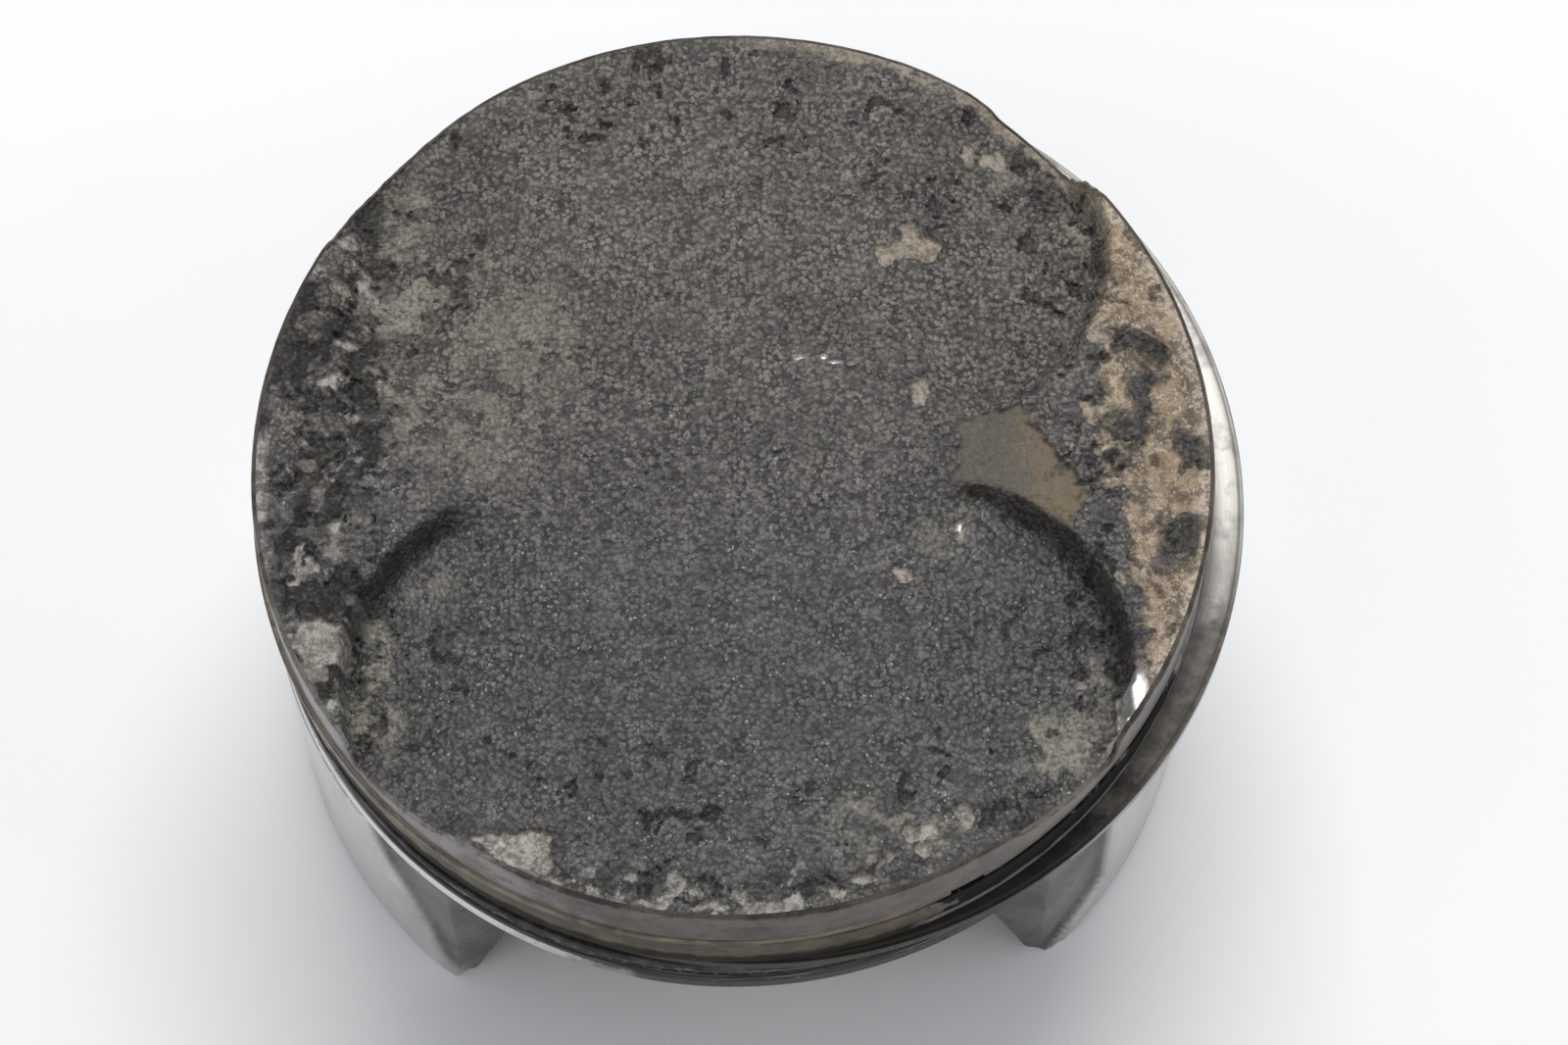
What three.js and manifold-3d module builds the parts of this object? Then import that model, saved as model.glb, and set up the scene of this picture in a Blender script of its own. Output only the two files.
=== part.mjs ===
// Four-stroke motorcycle piston: cast body, two compression rings, a three-piece oil ring,
// a hollow wrist pin and its two circlips. Millimetres, +Z up. The pin lies along Y, the intake
// side is +X, and the origin is the middle of the crown, on the piston's own axis. Heights below
// are measured from the foot of the skirt, and the whole piston is lowered at the end.
import * as THREE from 'three';
import { mergeVertices } from 'three/addons/utils/BufferGeometryUtils.js';
import Module from 'manifold-3d';

const wasm = await Module();
wasm.setup();

// Driving dimensions ------------------------------------------------------------------------

const RIM_HEIGHT = 41;            // flat rim of the crown above the foot of the skirt
const CROWN_RADIUS = 38;
const RIM_CHAMFER = 0.4;
const DOME_RISE = 1;              // low dome above the rim
const DOME_TOP_RADIUS = 12;
const DOME_FOOT_RADIUS = 31;
const BELT_FOOT = RIM_HEIGHT - 17.2;
const SKIRT_RADIUS = 38.1;
const SKIRT_CHAMFER = 0.5;
const TURNS = 64;                 // facets around the piston

// Ring grooves: depth of the upper side below the rim, height, and radius of the floor.
const TOP_GROOVE = { below: 5.2, height: 1.2, floor: 34 };
const SECOND_GROOVE = { below: 10.6, height: 1.3, floor: 33.7 };
const OIL_GROOVE = { below: 13.1, height: 2.5, floor: 34.3 };

// Rings: outer radius, radial wall, thickness, shift of the ring's centre, direction of the
// middle of the end gap and width of that gap.
const TOP_RING = { outer: 38.05, wall: 3.3, thick: 1, shift: [-0.35, 0], gapAt: -63, gap: 3 };
const SECOND_RING = { outer: 39.4, wall: 3.4, thick: 1.1, shift: [1.8, 1.2], gapAt: 118, gap: 8 };
const OIL_RAIL = { outer: 38.1, wall: 2.6, thick: 0.45, shift: [0.1, 0.15], gap: 1.2 };
const EXPANDER = { outer: 37.7, wall: 2.6, thick: 1.2, shift: [0, 0], gapAt: 60, gap: 1.2 };
const UPPER_RAIL_GAP_AT = 20;
const LOWER_RAIL_GAP_AT = 200;
const SIDE_CLEARANCE = 0.1;       // between a ring and the side of its groove
const RING_TURNS = 60;

// Valve pockets: centre, radius, and the floor's tilt and where it leaves the dome's top level.
const INTAKE_POCKET = { x: 15, y: 18, radius: 15.2, tilt: 15.6, start: 11.9 };
const EXHAUST_POCKET = { x: -16, y: 17.5, radius: 15, tilt: 15.3, start: 12.4 };
const POCKET_TURNS = 40;

// Inside of the casting.
const CAVITY = [[0, -1], [34.8, -1], [34.8, 3], [31.4, 20], [30.4, 29], [24, 34.5], [0, 34.5]];

// Wrist pin and bosses.
const PIN_HEIGHT = 14;
const PIN_RADIUS = 9;
const PIN_BORE_RADIUS = 9.1;
const PIN_HOLLOW_RADIUS = 5.5;
const PIN_LENGTH = 50.6;
const PIN_CHAMFER = 0.8;
const PIN_TURNS = 40;
const BOSS_RADIUS = 12.5;
const BOSS_INNER_FACE = 13;
const BOSS_OUTER_FACE = 28;
const CLIP_AT = 26.2;             // middle of the circlip groove along the pin
const CLIP_WIRE = 1;
const CLIP_RADIUS = 9.35;         // to the middle of the wire
const CLIP_ARC = 310;
const CLIP_GROOVE_RADIUS = 10.1;
const CLIP_GROOVE_WIDTH = 1.3;

// Side walls between the skirt and the bosses, seen from above, and the arch under them.
const WALL_AT_SKIRT = 28.1;
const WALL_AT_BOSS = 26;
const WALL_THICKNESS = 3;
const FOOT_X = 24;
const WALL_BEND_X = 13;
const ARCH = [[-23.2, -1], [-20.4, 7], [-16, 10], [16, 10], [20.4, 7], [23.2, -1]];

// The skirt's cast flanks lie lower than its machined bearing faces.
const FLANK_RADIUS = 37.2;
const BEARING_HALF_WIDTH = 24.5;
const FLANK_TOP = 22.6;

// Oil drain holes, as directions around the piston.
const DRAIN_RADIUS = 0.9;
const DRAIN_DIRECTIONS = [-36, -18, 0, 18, 36, 144, 162, 180, 198, 216];
const DRAIN_TURNS = 8;

// Solids ------------------------------------------------------------------------------------

const radians = THREE.MathUtils.degToRad;

function solidOf(geometry) {
  geometry.deleteAttribute('normal');
  geometry.deleteAttribute('uv');
  const merged = mergeVertices(geometry, 1e-4);
  const vertProperties = new Float32Array(merged.attributes.position.array);
  const triVerts = new Uint32Array(merged.index.array);
  return new wasm.Manifold(new wasm.Mesh({ numProp: 3, vertProperties, triVerts }));
}

function geometryOf(solid) {
  const { vertProperties, triVerts } = solid.getMesh();
  const geometry = new THREE.BufferGeometry();
  geometry.setAttribute('position', new THREE.BufferAttribute(vertProperties, 3));
  geometry.setIndex(new THREE.BufferAttribute(triVerts, 1));
  geometry.computeVertexNormals();
  return geometry;
}

// A solid of revolution about Z from [radius, height] points.
function turned(points, turns = TURNS) {
  const profile = points.map(([radius, height]) => new THREE.Vector2(radius, height));
  return new THREE.LatheGeometry(profile, turns).rotateX(Math.PI / 2);
}

// The same, about Y, from [radius, y] points.
function turnedAboutPin(points, turns = PIN_TURNS) {
  const profile = points.map(([radius, along]) => new THREE.Vector2(radius, along));
  return new THREE.LatheGeometry(profile, turns).translate(0, 0, PIN_HEIGHT);
}

function prism(outline, low, high) {
  const shape = new THREE.Shape(outline.map(([x, y]) => new THREE.Vector2(x, y)));
  const geometry = new THREE.ExtrudeGeometry(shape, { depth: high - low, bevelEnabled: false });
  return geometry.translate(0, 0, low);
}

// A prism whose outline is given in X and Z, and which runs along Y from low to high.
function prismAlongY(outline, low, high) {
  return prism(outline, -high, -low).rotateX(Math.PI / 2);
}

function block(x0, x1, y0, y1, z0, z1) {
  const box = new THREE.BoxGeometry(x1 - x0, y1 - y0, z1 - z0);
  return box.translate((x0 + x1) / 2, (y0 + y1) / 2, (z0 + z1) / 2);
}

// Piston body -------------------------------------------------------------------------------

// Points of one groove on the belt's outline, from its upper side to its lower side.
function grooveProfile({ below, height, floor }) {
  const upper = RIM_HEIGHT - below;
  const lower = upper - height;
  return [[CROWN_RADIUS, upper], [floor, upper], [floor, lower], [CROWN_RADIUS, lower]];
}

function outerForm() {
  const outline = [
    [0, RIM_HEIGHT + DOME_RISE],
    [DOME_TOP_RADIUS, RIM_HEIGHT + DOME_RISE],
    [DOME_FOOT_RADIUS, RIM_HEIGHT],
    [CROWN_RADIUS - RIM_CHAMFER, RIM_HEIGHT],
    [CROWN_RADIUS, RIM_HEIGHT - RIM_CHAMFER],
    ...grooveProfile(TOP_GROOVE),
    ...grooveProfile(SECOND_GROOVE),
    ...grooveProfile(OIL_GROOVE),
    [CROWN_RADIUS, BELT_FOOT],
    [SKIRT_RADIUS, BELT_FOOT - 1],
    [SKIRT_RADIUS, SKIRT_CHAMFER],
    [SKIRT_RADIUS - SKIRT_CHAMFER, 0],
    [0, 0],
  ];
  return solidOf(turned(outline.reverse()));
}

// A round cutter, tall enough to clear the crown, whose flat end is the tilted pocket floor.
function pocketCutter({ x, y, radius, tilt, start }) {
  const slope = Math.tan(radians(tilt));
  const height = 16;
  const cutter = new THREE.CylinderGeometry(radius, radius, height, POCKET_TURNS);
  cutter.rotateX(Math.PI / 2).translate(x, y, height / 2);
  const position = cutter.attributes.position;
  for (let i = 0; i < position.count; i += 1) {
    const drop = (position.getX(i) * Math.sign(x) - start) * slope;
    position.setZ(i, position.getZ(i) + RIM_HEIGHT + DOME_RISE - drop);
  }
  return solidOf(cutter);
}

function flankCutter() {
  const ring = solidOf(turned([[FLANK_RADIUS, -1], [45, -1], [45, FLANK_TOP], [FLANK_RADIUS, FLANK_TOP],
    [FLANK_RADIUS, -1]]));
  const bearing = solidOf(block(-50, 50, -BEARING_HALF_WIDTH, BEARING_HALF_WIDTH, -2, FLANK_TOP + 1));
  return ring.subtract(bearing);
}

// Everything outside one side wall below the ring belt; side is +1 or -1 along Y.
function sideCutter(side) {
  const outline = [
    [-60, 60 * side], [-60, WALL_AT_SKIRT * side], [-FOOT_X, WALL_AT_SKIRT * side],
    [-WALL_BEND_X, WALL_AT_BOSS * side], [WALL_BEND_X, WALL_AT_BOSS * side],
    [FOOT_X, WALL_AT_SKIRT * side], [60, WALL_AT_SKIRT * side], [60, 60 * side],
  ];
  return solidOf(prism(outline, -1, BELT_FOOT));
}

function sideWall(side) {
  const inner = WALL_AT_BOSS - WALL_THICKNESS;
  const outline = [
    [-FOOT_X - 2, WALL_AT_SKIRT * side], [-FOOT_X, WALL_AT_SKIRT * side],
    [-WALL_BEND_X, WALL_AT_BOSS * side], [WALL_BEND_X, WALL_AT_BOSS * side],
    [FOOT_X, WALL_AT_SKIRT * side], [FOOT_X + 2, WALL_AT_SKIRT * side],
    [FOOT_X + 2.5, (inner + 2) * side], [WALL_BEND_X, inner * side],
    [-WALL_BEND_X, inner * side], [-FOOT_X - 2.5, (inner + 2) * side],
  ];
  return solidOf(prism(outline, 0, BELT_FOOT + 1));
}

function archCutter(side) {
  return solidOf(prismAlongY(ARCH, side > 0 ? 20 : -40, side > 0 ? 40 : -20));
}

// A pin boss with the pillar that hangs it from the crown.
function boss(side) {
  const faces = [BOSS_INNER_FACE * side, BOSS_OUTER_FACE * side].sort((a, b) => a - b);
  const round = [[0, faces[0]], [BOSS_RADIUS, faces[0]], [BOSS_RADIUS, faces[1]], [0, faces[1]]];
  const pillarEnd = [BOSS_INNER_FACE * side, 29 * side].sort((a, b) => a - b);
  const pillar = block(-BOSS_RADIUS, BOSS_RADIUS, pillarEnd[0], pillarEnd[1], PIN_HEIGHT, 35.2);
  return { barrel: solidOf(turnedAboutPin(round)), pillar: solidOf(pillar) };
}

function pinBore() {
  const bore = [[0, -45], [PIN_BORE_RADIUS, -45], [PIN_BORE_RADIUS, 45], [0, 45]];
  let cutter = solidOf(turnedAboutPin(bore));
  for (const at of [-CLIP_AT, CLIP_AT]) {
    const low = at - CLIP_GROOVE_WIDTH / 2;
    const high = at + CLIP_GROOVE_WIDTH / 2;
    const groove = [[0, low], [CLIP_GROOVE_RADIUS, low], [CLIP_GROOVE_RADIUS, high], [0, high]];
    cutter = cutter.add(solidOf(turnedAboutPin(groove)));
  }
  return cutter;
}

function drainHole(direction) {
  const hole = new THREE.CylinderGeometry(DRAIN_RADIUS, DRAIN_RADIUS, 8, DRAIN_TURNS);
  hole.rotateZ(Math.PI / 2).translate(33, 0, RIM_HEIGHT - OIL_GROOVE.below - OIL_GROOVE.height / 2);
  return solidOf(hole.rotateZ(radians(direction)));
}

function pistonGeometry() {
  const outer = outerForm();
  let body = outer.subtract(solidOf(turned(CAVITY)));
  body = body.subtract(flankCutter());
  for (const side of [-1, 1]) {
    const { barrel, pillar } = boss(side);
    body = body.add(sideWall(side).intersect(outer));
    body = body.subtract(archCutter(side));
    body = body.add(pillar.intersect(outer));
    body = body.subtract(sideCutter(side));
    body = body.add(barrel);
    for (const pocket of [INTAKE_POCKET, EXHAUST_POCKET]) {
      body = body.subtract(pocketCutter({ ...pocket, y: pocket.y * side }));
    }
  }
  body = body.subtract(pinBore());
  for (const direction of DRAIN_DIRECTIONS) {
    body = body.subtract(drainHole(direction));
  }
  return geometryOf(body);
}

// Rings -------------------------------------------------------------------------------------

// A split ring lying on z = 0, its gap centred on the given direction.
function splitRing({ outer, wall, thick, shift, gapAt, gap }) {
  const halfGap = gap / 2 / outer;
  const start = radians(gapAt) + halfGap;
  const end = radians(gapAt) - halfGap + 2 * Math.PI;
  const points = [];
  for (let i = 0; i <= RING_TURNS; i += 1) {
    const angle = start + (end - start) * i / RING_TURNS;
    points.push([outer * Math.cos(angle), outer * Math.sin(angle)]);
  }
  for (let i = RING_TURNS; i >= 0; i -= 1) {
    const angle = start + (end - start) * i / RING_TURNS;
    points.push([(outer - wall) * Math.cos(angle), (outer - wall) * Math.sin(angle)]);
  }
  return prism(points, 0, thick).translate(shift[0], shift[1], 0);
}

function ringHeight(groove, below) {
  return RIM_HEIGHT - groove.below - below;
}

// Wrist pin and circlips ----------------------------------------------------------------------

function wristPinGeometry() {
  const half = PIN_LENGTH / 2;
  return turnedAboutPin([
    [PIN_HOLLOW_RADIUS, -half], [PIN_RADIUS - PIN_CHAMFER, -half], [PIN_RADIUS, -half + PIN_CHAMFER],
    [PIN_RADIUS, half - PIN_CHAMFER], [PIN_RADIUS - PIN_CHAMFER, half], [PIN_HOLLOW_RADIUS, half],
    [PIN_HOLLOW_RADIUS, -half],
  ]);
}

// An open ring of round wire about Y, its gap at the bottom.
class WireArc extends THREE.Curve {
  getPoint(t, target = new THREE.Vector3()) {
    const angle = radians(-90 + (360 - CLIP_ARC) / 2 + CLIP_ARC * t);
    return target.set(CLIP_RADIUS * Math.cos(angle), 0, CLIP_RADIUS * Math.sin(angle));
  }
}

function circlipGeometry() {
  const section = new THREE.Shape();
  section.absarc(0, 0, CLIP_WIRE / 2, 0, 2 * Math.PI);
  return new THREE.ExtrudeGeometry(section, { steps: 28, curveSegments: 4, extrudePath: new WireArc() });
}

// Assembly ----------------------------------------------------------------------------------

const castAluminium = { color: 0x9a9892, roughness: 0.55, metalness: 0.85 };
const ringSteel = { color: 0x8d8a86, roughness: 0.35, metalness: 1 };
const railSteel = { color: 0x9b9b98, roughness: 0.3, metalness: 1 };
const pinSteel = { color: 0xb4b4b2, roughness: 0.2, metalness: 1 };
const springWire = { color: 0x55565a, roughness: 0.4, metalness: 1 };

const piston = new THREE.Group();
piston.position.z = -(RIM_HEIGHT + DOME_RISE);

function addPiece(name, geometry, finish, x = 0, y = 0, z = 0) {
  const mesh = new THREE.Mesh(geometry, new THREE.MeshStandardMaterial(finish));
  mesh.name = name;
  mesh.position.set(x, y, z);
  piston.add(mesh);
}

const topRingFoot = ringHeight(TOP_GROOVE, SIDE_CLEARANCE + TOP_RING.thick);
const secondRingFoot = ringHeight(SECOND_GROOVE, SIDE_CLEARANCE + SECOND_RING.thick);
const upperRailFoot = ringHeight(OIL_GROOVE, SIDE_CLEARANCE + OIL_RAIL.thick);
const expanderFoot = upperRailFoot - SIDE_CLEARANCE - EXPANDER.thick;
const lowerRailFoot = expanderFoot - SIDE_CLEARANCE - OIL_RAIL.thick;

addPiece('piston_body', pistonGeometry(), castAluminium);
addPiece('top_ring', splitRing(TOP_RING), ringSteel, 0, 0, topRingFoot);
addPiece('second_ring', splitRing(SECOND_RING), ringSteel, 0, 0, secondRingFoot);
addPiece('oil_upper_rail', splitRing({ ...OIL_RAIL, gapAt: UPPER_RAIL_GAP_AT }), railSteel, 0, 0, upperRailFoot);
addPiece('oil_expander', splitRing(EXPANDER), railSteel, 0, 0, expanderFoot);
addPiece('oil_lower_rail', splitRing({ ...OIL_RAIL, gapAt: LOWER_RAIL_GAP_AT }), railSteel, 0, 0, lowerRailFoot);
addPiece('wrist_pin', wristPinGeometry(), pinSteel);
addPiece('circlip_front', circlipGeometry(), springWire, 0, -CLIP_AT, PIN_HEIGHT);
addPiece('circlip_rear', circlipGeometry(), springWire, 0, CLIP_AT, PIN_HEIGHT);

export default piston;
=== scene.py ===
# A used four-stroke motorcycle piston standing on a pale table: carbon-crusted crown, ring belt with
# a sprung second ring, slipper skirt, wrist pin and circlips. Values named _MM, the crown's fields and
# what the mesh builders are given are in millimetres; Blender's own values are in metres.
import functools
import math

import bmesh
import bpy
import numpy as np
from mathutils import Matrix, Vector


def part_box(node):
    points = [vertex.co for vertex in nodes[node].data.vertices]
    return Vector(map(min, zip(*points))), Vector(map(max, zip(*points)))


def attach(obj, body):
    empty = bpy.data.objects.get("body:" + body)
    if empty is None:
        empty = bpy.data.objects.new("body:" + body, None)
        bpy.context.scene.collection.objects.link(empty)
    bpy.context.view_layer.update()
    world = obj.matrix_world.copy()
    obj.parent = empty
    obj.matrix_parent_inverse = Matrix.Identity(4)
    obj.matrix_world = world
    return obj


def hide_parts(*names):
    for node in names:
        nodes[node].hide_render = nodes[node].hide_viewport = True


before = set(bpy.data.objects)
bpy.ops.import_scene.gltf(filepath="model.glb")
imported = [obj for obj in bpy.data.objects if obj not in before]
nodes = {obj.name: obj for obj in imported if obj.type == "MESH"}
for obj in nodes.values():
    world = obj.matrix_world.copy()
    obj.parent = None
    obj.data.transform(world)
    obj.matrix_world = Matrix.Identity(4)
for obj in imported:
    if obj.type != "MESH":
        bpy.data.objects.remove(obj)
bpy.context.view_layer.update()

MM = 0.001

# ---- Sizes that the casting shares with the CAD model, with z = 0 at the crown's middle ----
CROWN_RADIUS_MM = 38.0
RIM_MM = -1.0                    # flat rim below the dome's top
DOME_TOP_MM, DOME_FOOT_MM = 12.0, 31.0
BELT_FOOT_MM = RIM_MM - 17.2
SKIRT_RADIUS_MM, FLANK_RADIUS_MM = 38.1, 37.2
FOOT_MM = -42.0
PIN_HEIGHT_MM, PIN_BORE_MM = -28.0, 9.1
BOSS_MM, BOSS_FACE_MM = 12.5, 28.0
GROOVES_MM = ((5.2, 1.2, 34.0), (10.6, 1.3, 33.7), (13.1, 2.5, 34.3))   # below rim, height, floor
GROOVE_TOPS_MM = [RIM_MM - below for below, _, _ in GROOVES_MM]
GROOVE_FEET_MM = [RIM_MM - below - height for below, height, _ in GROOVES_MM]
# Valve pockets: centre, radius, slope of the floor, where it leaves the dome's top level, and how
# deep the wall must be before it shows through the crust.
INTAKE_SLOPE, EXHAUST_SLOPE = math.tan(math.radians(15.6)), math.tan(math.radians(15.3))
POCKETS_MM = (
    (15.0, 18.0, 15.2, INTAKE_SLOPE, 11.9, 1.7), (15.0, -18.0, 15.2, INTAKE_SLOPE, 11.9, 1.15),
    (-16.0, 17.5, 15.0, EXHAUST_SLOPE, 12.4, 4.2), (-16.0, -17.5, 15.0, EXHAUST_SLOPE, 12.4, 1.9),
)
# Split rings: direction of the gap in degrees, width of the gap, wall of the ring, rounded edge.
RINGS_MM = {
    "top_ring": (-63, 3.0, 3.3, 0.09), "second_ring": (118, 8.0, 3.4, 0.10),
    "oil_upper_rail": (20, 1.2, 2.6, 0.09), "oil_lower_rail": (200, 1.2, 2.6, 0.09),
}


# ---- Noise fields, seeded and vectorised ----


def hashed(ix, iy, seed):
    """A repeatable number from 0 to 1 for each lattice point."""
    n = ix.astype(np.int64) * 374761393 + iy.astype(np.int64) * 668265263 + seed * 1442695041
    n = (n ^ (n >> 13)) & 0xFFFFFFFF
    n = (n * 1274126177) & 0xFFFFFFFF
    n = n ^ (n >> 16)
    return (n & 0xFFFFFF) / float(0xFFFFFF)


def smooth(low, high, value):
    t = np.clip((value - low) / (high - low), 0.0, 1.0)
    return t * t * (3.0 - 2.0 * t)


def lattice_noise(x, y, size, seed):
    """Smooth noise from 0 to 1 whose lumps are about size across."""
    gx, gy = x / size, y / size
    ix, iy = np.floor(gx), np.floor(gy)
    fx, fy = gx - ix, gy - iy
    fx, fy = fx * fx * (3 - 2 * fx), fy * fy * (3 - 2 * fy)
    low = hashed(ix, iy, seed) * (1 - fx) + hashed(ix + 1, iy, seed) * fx
    high = hashed(ix, iy + 1, seed) * (1 - fx) + hashed(ix + 1, iy + 1, seed) * fx
    return low * (1 - fy) + high * fy


def fractal(x, y, size, seed, octaves=4):
    total, weight, amount = 0.0, 0.0, 1.0
    for octave in range(octaves):
        # Each octave's lattice is turned, so that no grid shows.
        turn = 0.6 + 1.1 * octave
        u = x * math.cos(turn) - y * math.sin(turn)
        v = x * math.sin(turn) + y * math.cos(turn)
        total = total + amount * lattice_noise(u, v, size / 2 ** octave, seed + octave)
        weight += amount
        amount *= 0.5
    return total / weight


def grains(x, y, size, seed):
    """Distances to the nearest and second nearest grain centre, in grain sizes, and a random tone."""
    gx, gy = x / size, y / size
    ix, iy = np.floor(gx), np.floor(gy)
    first = np.full(x.shape, 9.0)
    second = np.full(x.shape, 9.0)
    tone = np.zeros(x.shape)
    for dx in (-1, 0, 1):
        for dy in (-1, 0, 1):
            cx, cy = ix + dx, iy + dy
            px = cx + 0.12 + 0.76 * hashed(cx, cy, seed)
            py = cy + 0.12 + 0.76 * hashed(cx, cy, seed + 7)
            d = np.hypot(gx - px, gy - py)
            nearer = d < first
            second = np.where(nearer, first, np.minimum(second, d))
            tone = np.where(nearer, hashed(cx, cy, seed + 13), tone)
            first = np.where(nearer, d, first)
    return first, second, tone


# ---- The crown: bare metal, crust and what shows through it ----

# Places where the crust has come off: x, y, half width along x and y, how clean, how warm in colour.
CHIPS_MM = (
    (15.3, 17.7, 1.8, 1.15, 0.95, 1.0), (13.3, 17.0, 1.2, 0.7, 0.8, 1.0),
    (14.8, 19.2, 0.7, 0.6, 0.6, 0.9), (22.0, 26.2, 1.0, 0.7, 0.8, 0.9),
    (19.8, 26.6, 0.5, 0.9, 0.7, 1.0), (14.9, 5.2, 0.65, 1.0, 0.8, 0.6),
    (12.8, -10.5, 0.9, 0.45, 0.9, 0.5), (17.4, -6.1, 0.5, 0.35, 0.8, 0.6),
    (17.9, -6.9, 0.25, 0.4, 0.8, 0.6), (-32.3, -14.2, 1.9, 1.9, 0.8, 0.25),
    (-33.2, -16.6, 1.3, 0.8, 0.6, 0.3), (-33.6, -19.4, 0.7, 1.9, 0.5, 0.3),
    (-17.3, -31.6, 2.4, 1.3, 0.95, 0.25), (-15.3, -33.0, 0.9, 0.8, 0.9, 0.25),
    (-19.6, -30.9, 1.0, 0.5, 0.7, 0.3), (-31.0, 16.7, 0.7, 0.9, 0.8, 0.5),
    (-30.2, 20.8, 0.8, 0.6, 0.9, 0.1), (-34.2, -7.6, 0.3, 2.0, 0.9, 0.5),
    (-34.5, -9.6, 0.5, 0.3, 0.9, 0.6), (-33.6, 0.6, 0.7, 0.5, 0.5, 0.6),
    (-33.0, -1.4, 0.6, 0.4, 0.5, 0.5), (13.3, -31.8, 1.4, 0.7, 0.85, 0.4),
    (13.5, -33.3, 0.9, 0.6, 0.8, 0.4), (16.8, -30.6, 0.6, 0.8, 0.7, 0.5),
    (10.5, -33.4, 0.8, 0.5, 0.6, 0.4), (8.8, -34.9, 1.0, 0.45, 0.85, 0.3),
    (6.6, -36.0, 0.7, 0.4, 0.8, 0.3), (-12.1, -35.2, 0.7, 0.4, 0.8, 0.3),
    (-10.3, -35.9, 0.6, 0.35, 0.7, 0.3), (-8.1, -36.5, 0.9, 0.3, 0.7, 0.3),
    (-3.3, -36.9, 1.3, 0.3, 0.8, 0.3), (1.8, -36.9, 1.2, 0.3, 0.6, 0.3),
    (21.3, -27.6, 0.5, 0.4, 0.6, 0.5), (29.4, 17.0, 0.35, 0.6, 0.8, 0.7),
    (29.2, 9.4, 0.7, 0.5, 0.85, 0.7), (28.8, -0.4, 0.4, 0.3, 0.7, 0.7),
    (30.1, -21.6, 0.9, 2.0, 0.9, 0.1), (29.0, -24.6, 0.7, 1.4, 0.8, 0.1),
    (5.2, 7.7, 0.5, 0.3, 0.5, 0.3), (-6.8, -1.3, 0.16, 0.2, 0.8, 0.5),
    (26.2, -19.0, 0.6, 0.35, 0.6, 0.4), (30.0, -11.2, 0.5, 0.7, 0.8, 0.6),
)
# Ashy, paler crust: x, y, half width along x and y, amount.
ASH_MM = (
    (-26.6, 14.5, 2.0, 8.0, 0.75), (-26.6, 23.6, 2.4, 2.4, 0.75), (-24.6, 3.0, 1.6, 2.6, 0.45),
    (29.2, 20.4, 1.0, 2.6, 0.8), (21.8, 24.2, 2.2, 1.4, 0.45), (24.6, -24.6, 3.6, 2.9, 0.75),
    (27.4, -19.4, 1.2, 2.6, 0.6), (-28.9, -14.4, 1.7, 2.6, 0.75), (-28.9, -21.0, 2.2, 3.4, 0.65),
    (12.5, -31.0, 6.0, 2.6, 0.55), (-24.0, -8.4, 2.4, 1.5, 0.35), (-31.5, -5.4, 1.6, 2.0, 0.5),
    (-31.6, 1.6, 2.2, 1.4, 0.45), (16.5, -6.3, 2.2, 2.4, 0.35), (-20.5, 10.0, 8.0, 10.0, 0.38),
)
# Soot: x, y, half width along x and y, amount.
SOOT_MM = (
    (31.2, 1.8, 1.5, 0.40, 0.95), (32.8, 2.6, 0.9, 0.30, 0.7), (31.4, -2.2, 1.6, 0.38, 1.0),
    (33.0, -1.4, 0.4, 0.7, 0.8), (33.2, 6.9, 0.55, 2.2, 0.75), (31.6, 9.0, 0.5, 1.0, 0.5),
    (33.6, -5.5, 0.5, 4.2, 0.6), (30.6, -14.4, 0.7, 2.4, 0.6), (29.4, -16.8, 0.8, 2.0, 0.8),
    (29.2, 21.6, 0.6, 1.6, 0.4), (25.4, 23.2, 2.8, 2.0, 0.55), (-31.2, 9.6, 1.8, 5.2, 0.95),
    (-33.4, -4.4, 1.3, 3.6, 0.9), (-29.6, -0.5, 1.4, 4.5, 0.55), (-28.0, 19.0, 1.4, 2.4, 0.6),
    (-31.6, -10.4, 2.0, 1.0, 0.8), (-24.8, -29.6, 4.0, 1.6, 0.5), (-8.5, -34.4, 3.6, 1.0, 0.55),
    (3.5, -35.0, 3.4, 0.9, 0.6), (19.2, -29.6, 1.4, 1.0, 0.4), (-29.4, -17.2, 0.8, 1.6, 0.8),
    (26.4, -21.6, 0.6, 1.6, 0.5), (-7.6, -0.6, 0.35, 0.25, 0.8), (-10.6, -4.4, 0.4, 0.3, 0.7),
    (29.5, 3.6, 0.8, 2.6, 0.7),
)
# Scratches and knocks that shine: x, y, half width along x and y.
SHINY_MM = (
    (30.6, -20.4, 0.7, 1.3), (30.0, -22.3, 0.8, 1.2), (29.1, -24.3, 0.6, 1.0), (5.6, 8.1, 0.5, 0.16),
    (7.5, 8.1, 0.3, 0.2), (8.4, 7.6, 0.45, 0.14), (9.6, 7.5, 0.3, 0.14), (8.0, 8.5, 0.2, 0.12),
    (17.5, -6.3, 0.16, 0.3),
)
# The scraped wedge between the two intake pockets, anticlockwise.
WEDGE_MM = ((18.0, -2.4), (23.0, -6.4), (25.4, -7.9), (27.0, -4.2), (24.4, 1.2), (22.5, 3.3), (18.0, 1.6))
DOME_SLOPE = 1.0 / (DOME_FOOT_MM - DOME_TOP_MM)


def patches(x, y, table, ragged_x, ragged_y):
    """The strongest of a table's soft ellipses at each point, with ragged outlines."""
    most = np.zeros(x.shape)
    for cx, cy, half_x, half_y, amount in table:
        far = np.hypot((x - cx + ragged_x) / half_x, (y - cy + ragged_y) / half_y)
        most = np.maximum(most, amount * smooth(1.35, 0.75, far))
    return most


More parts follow.
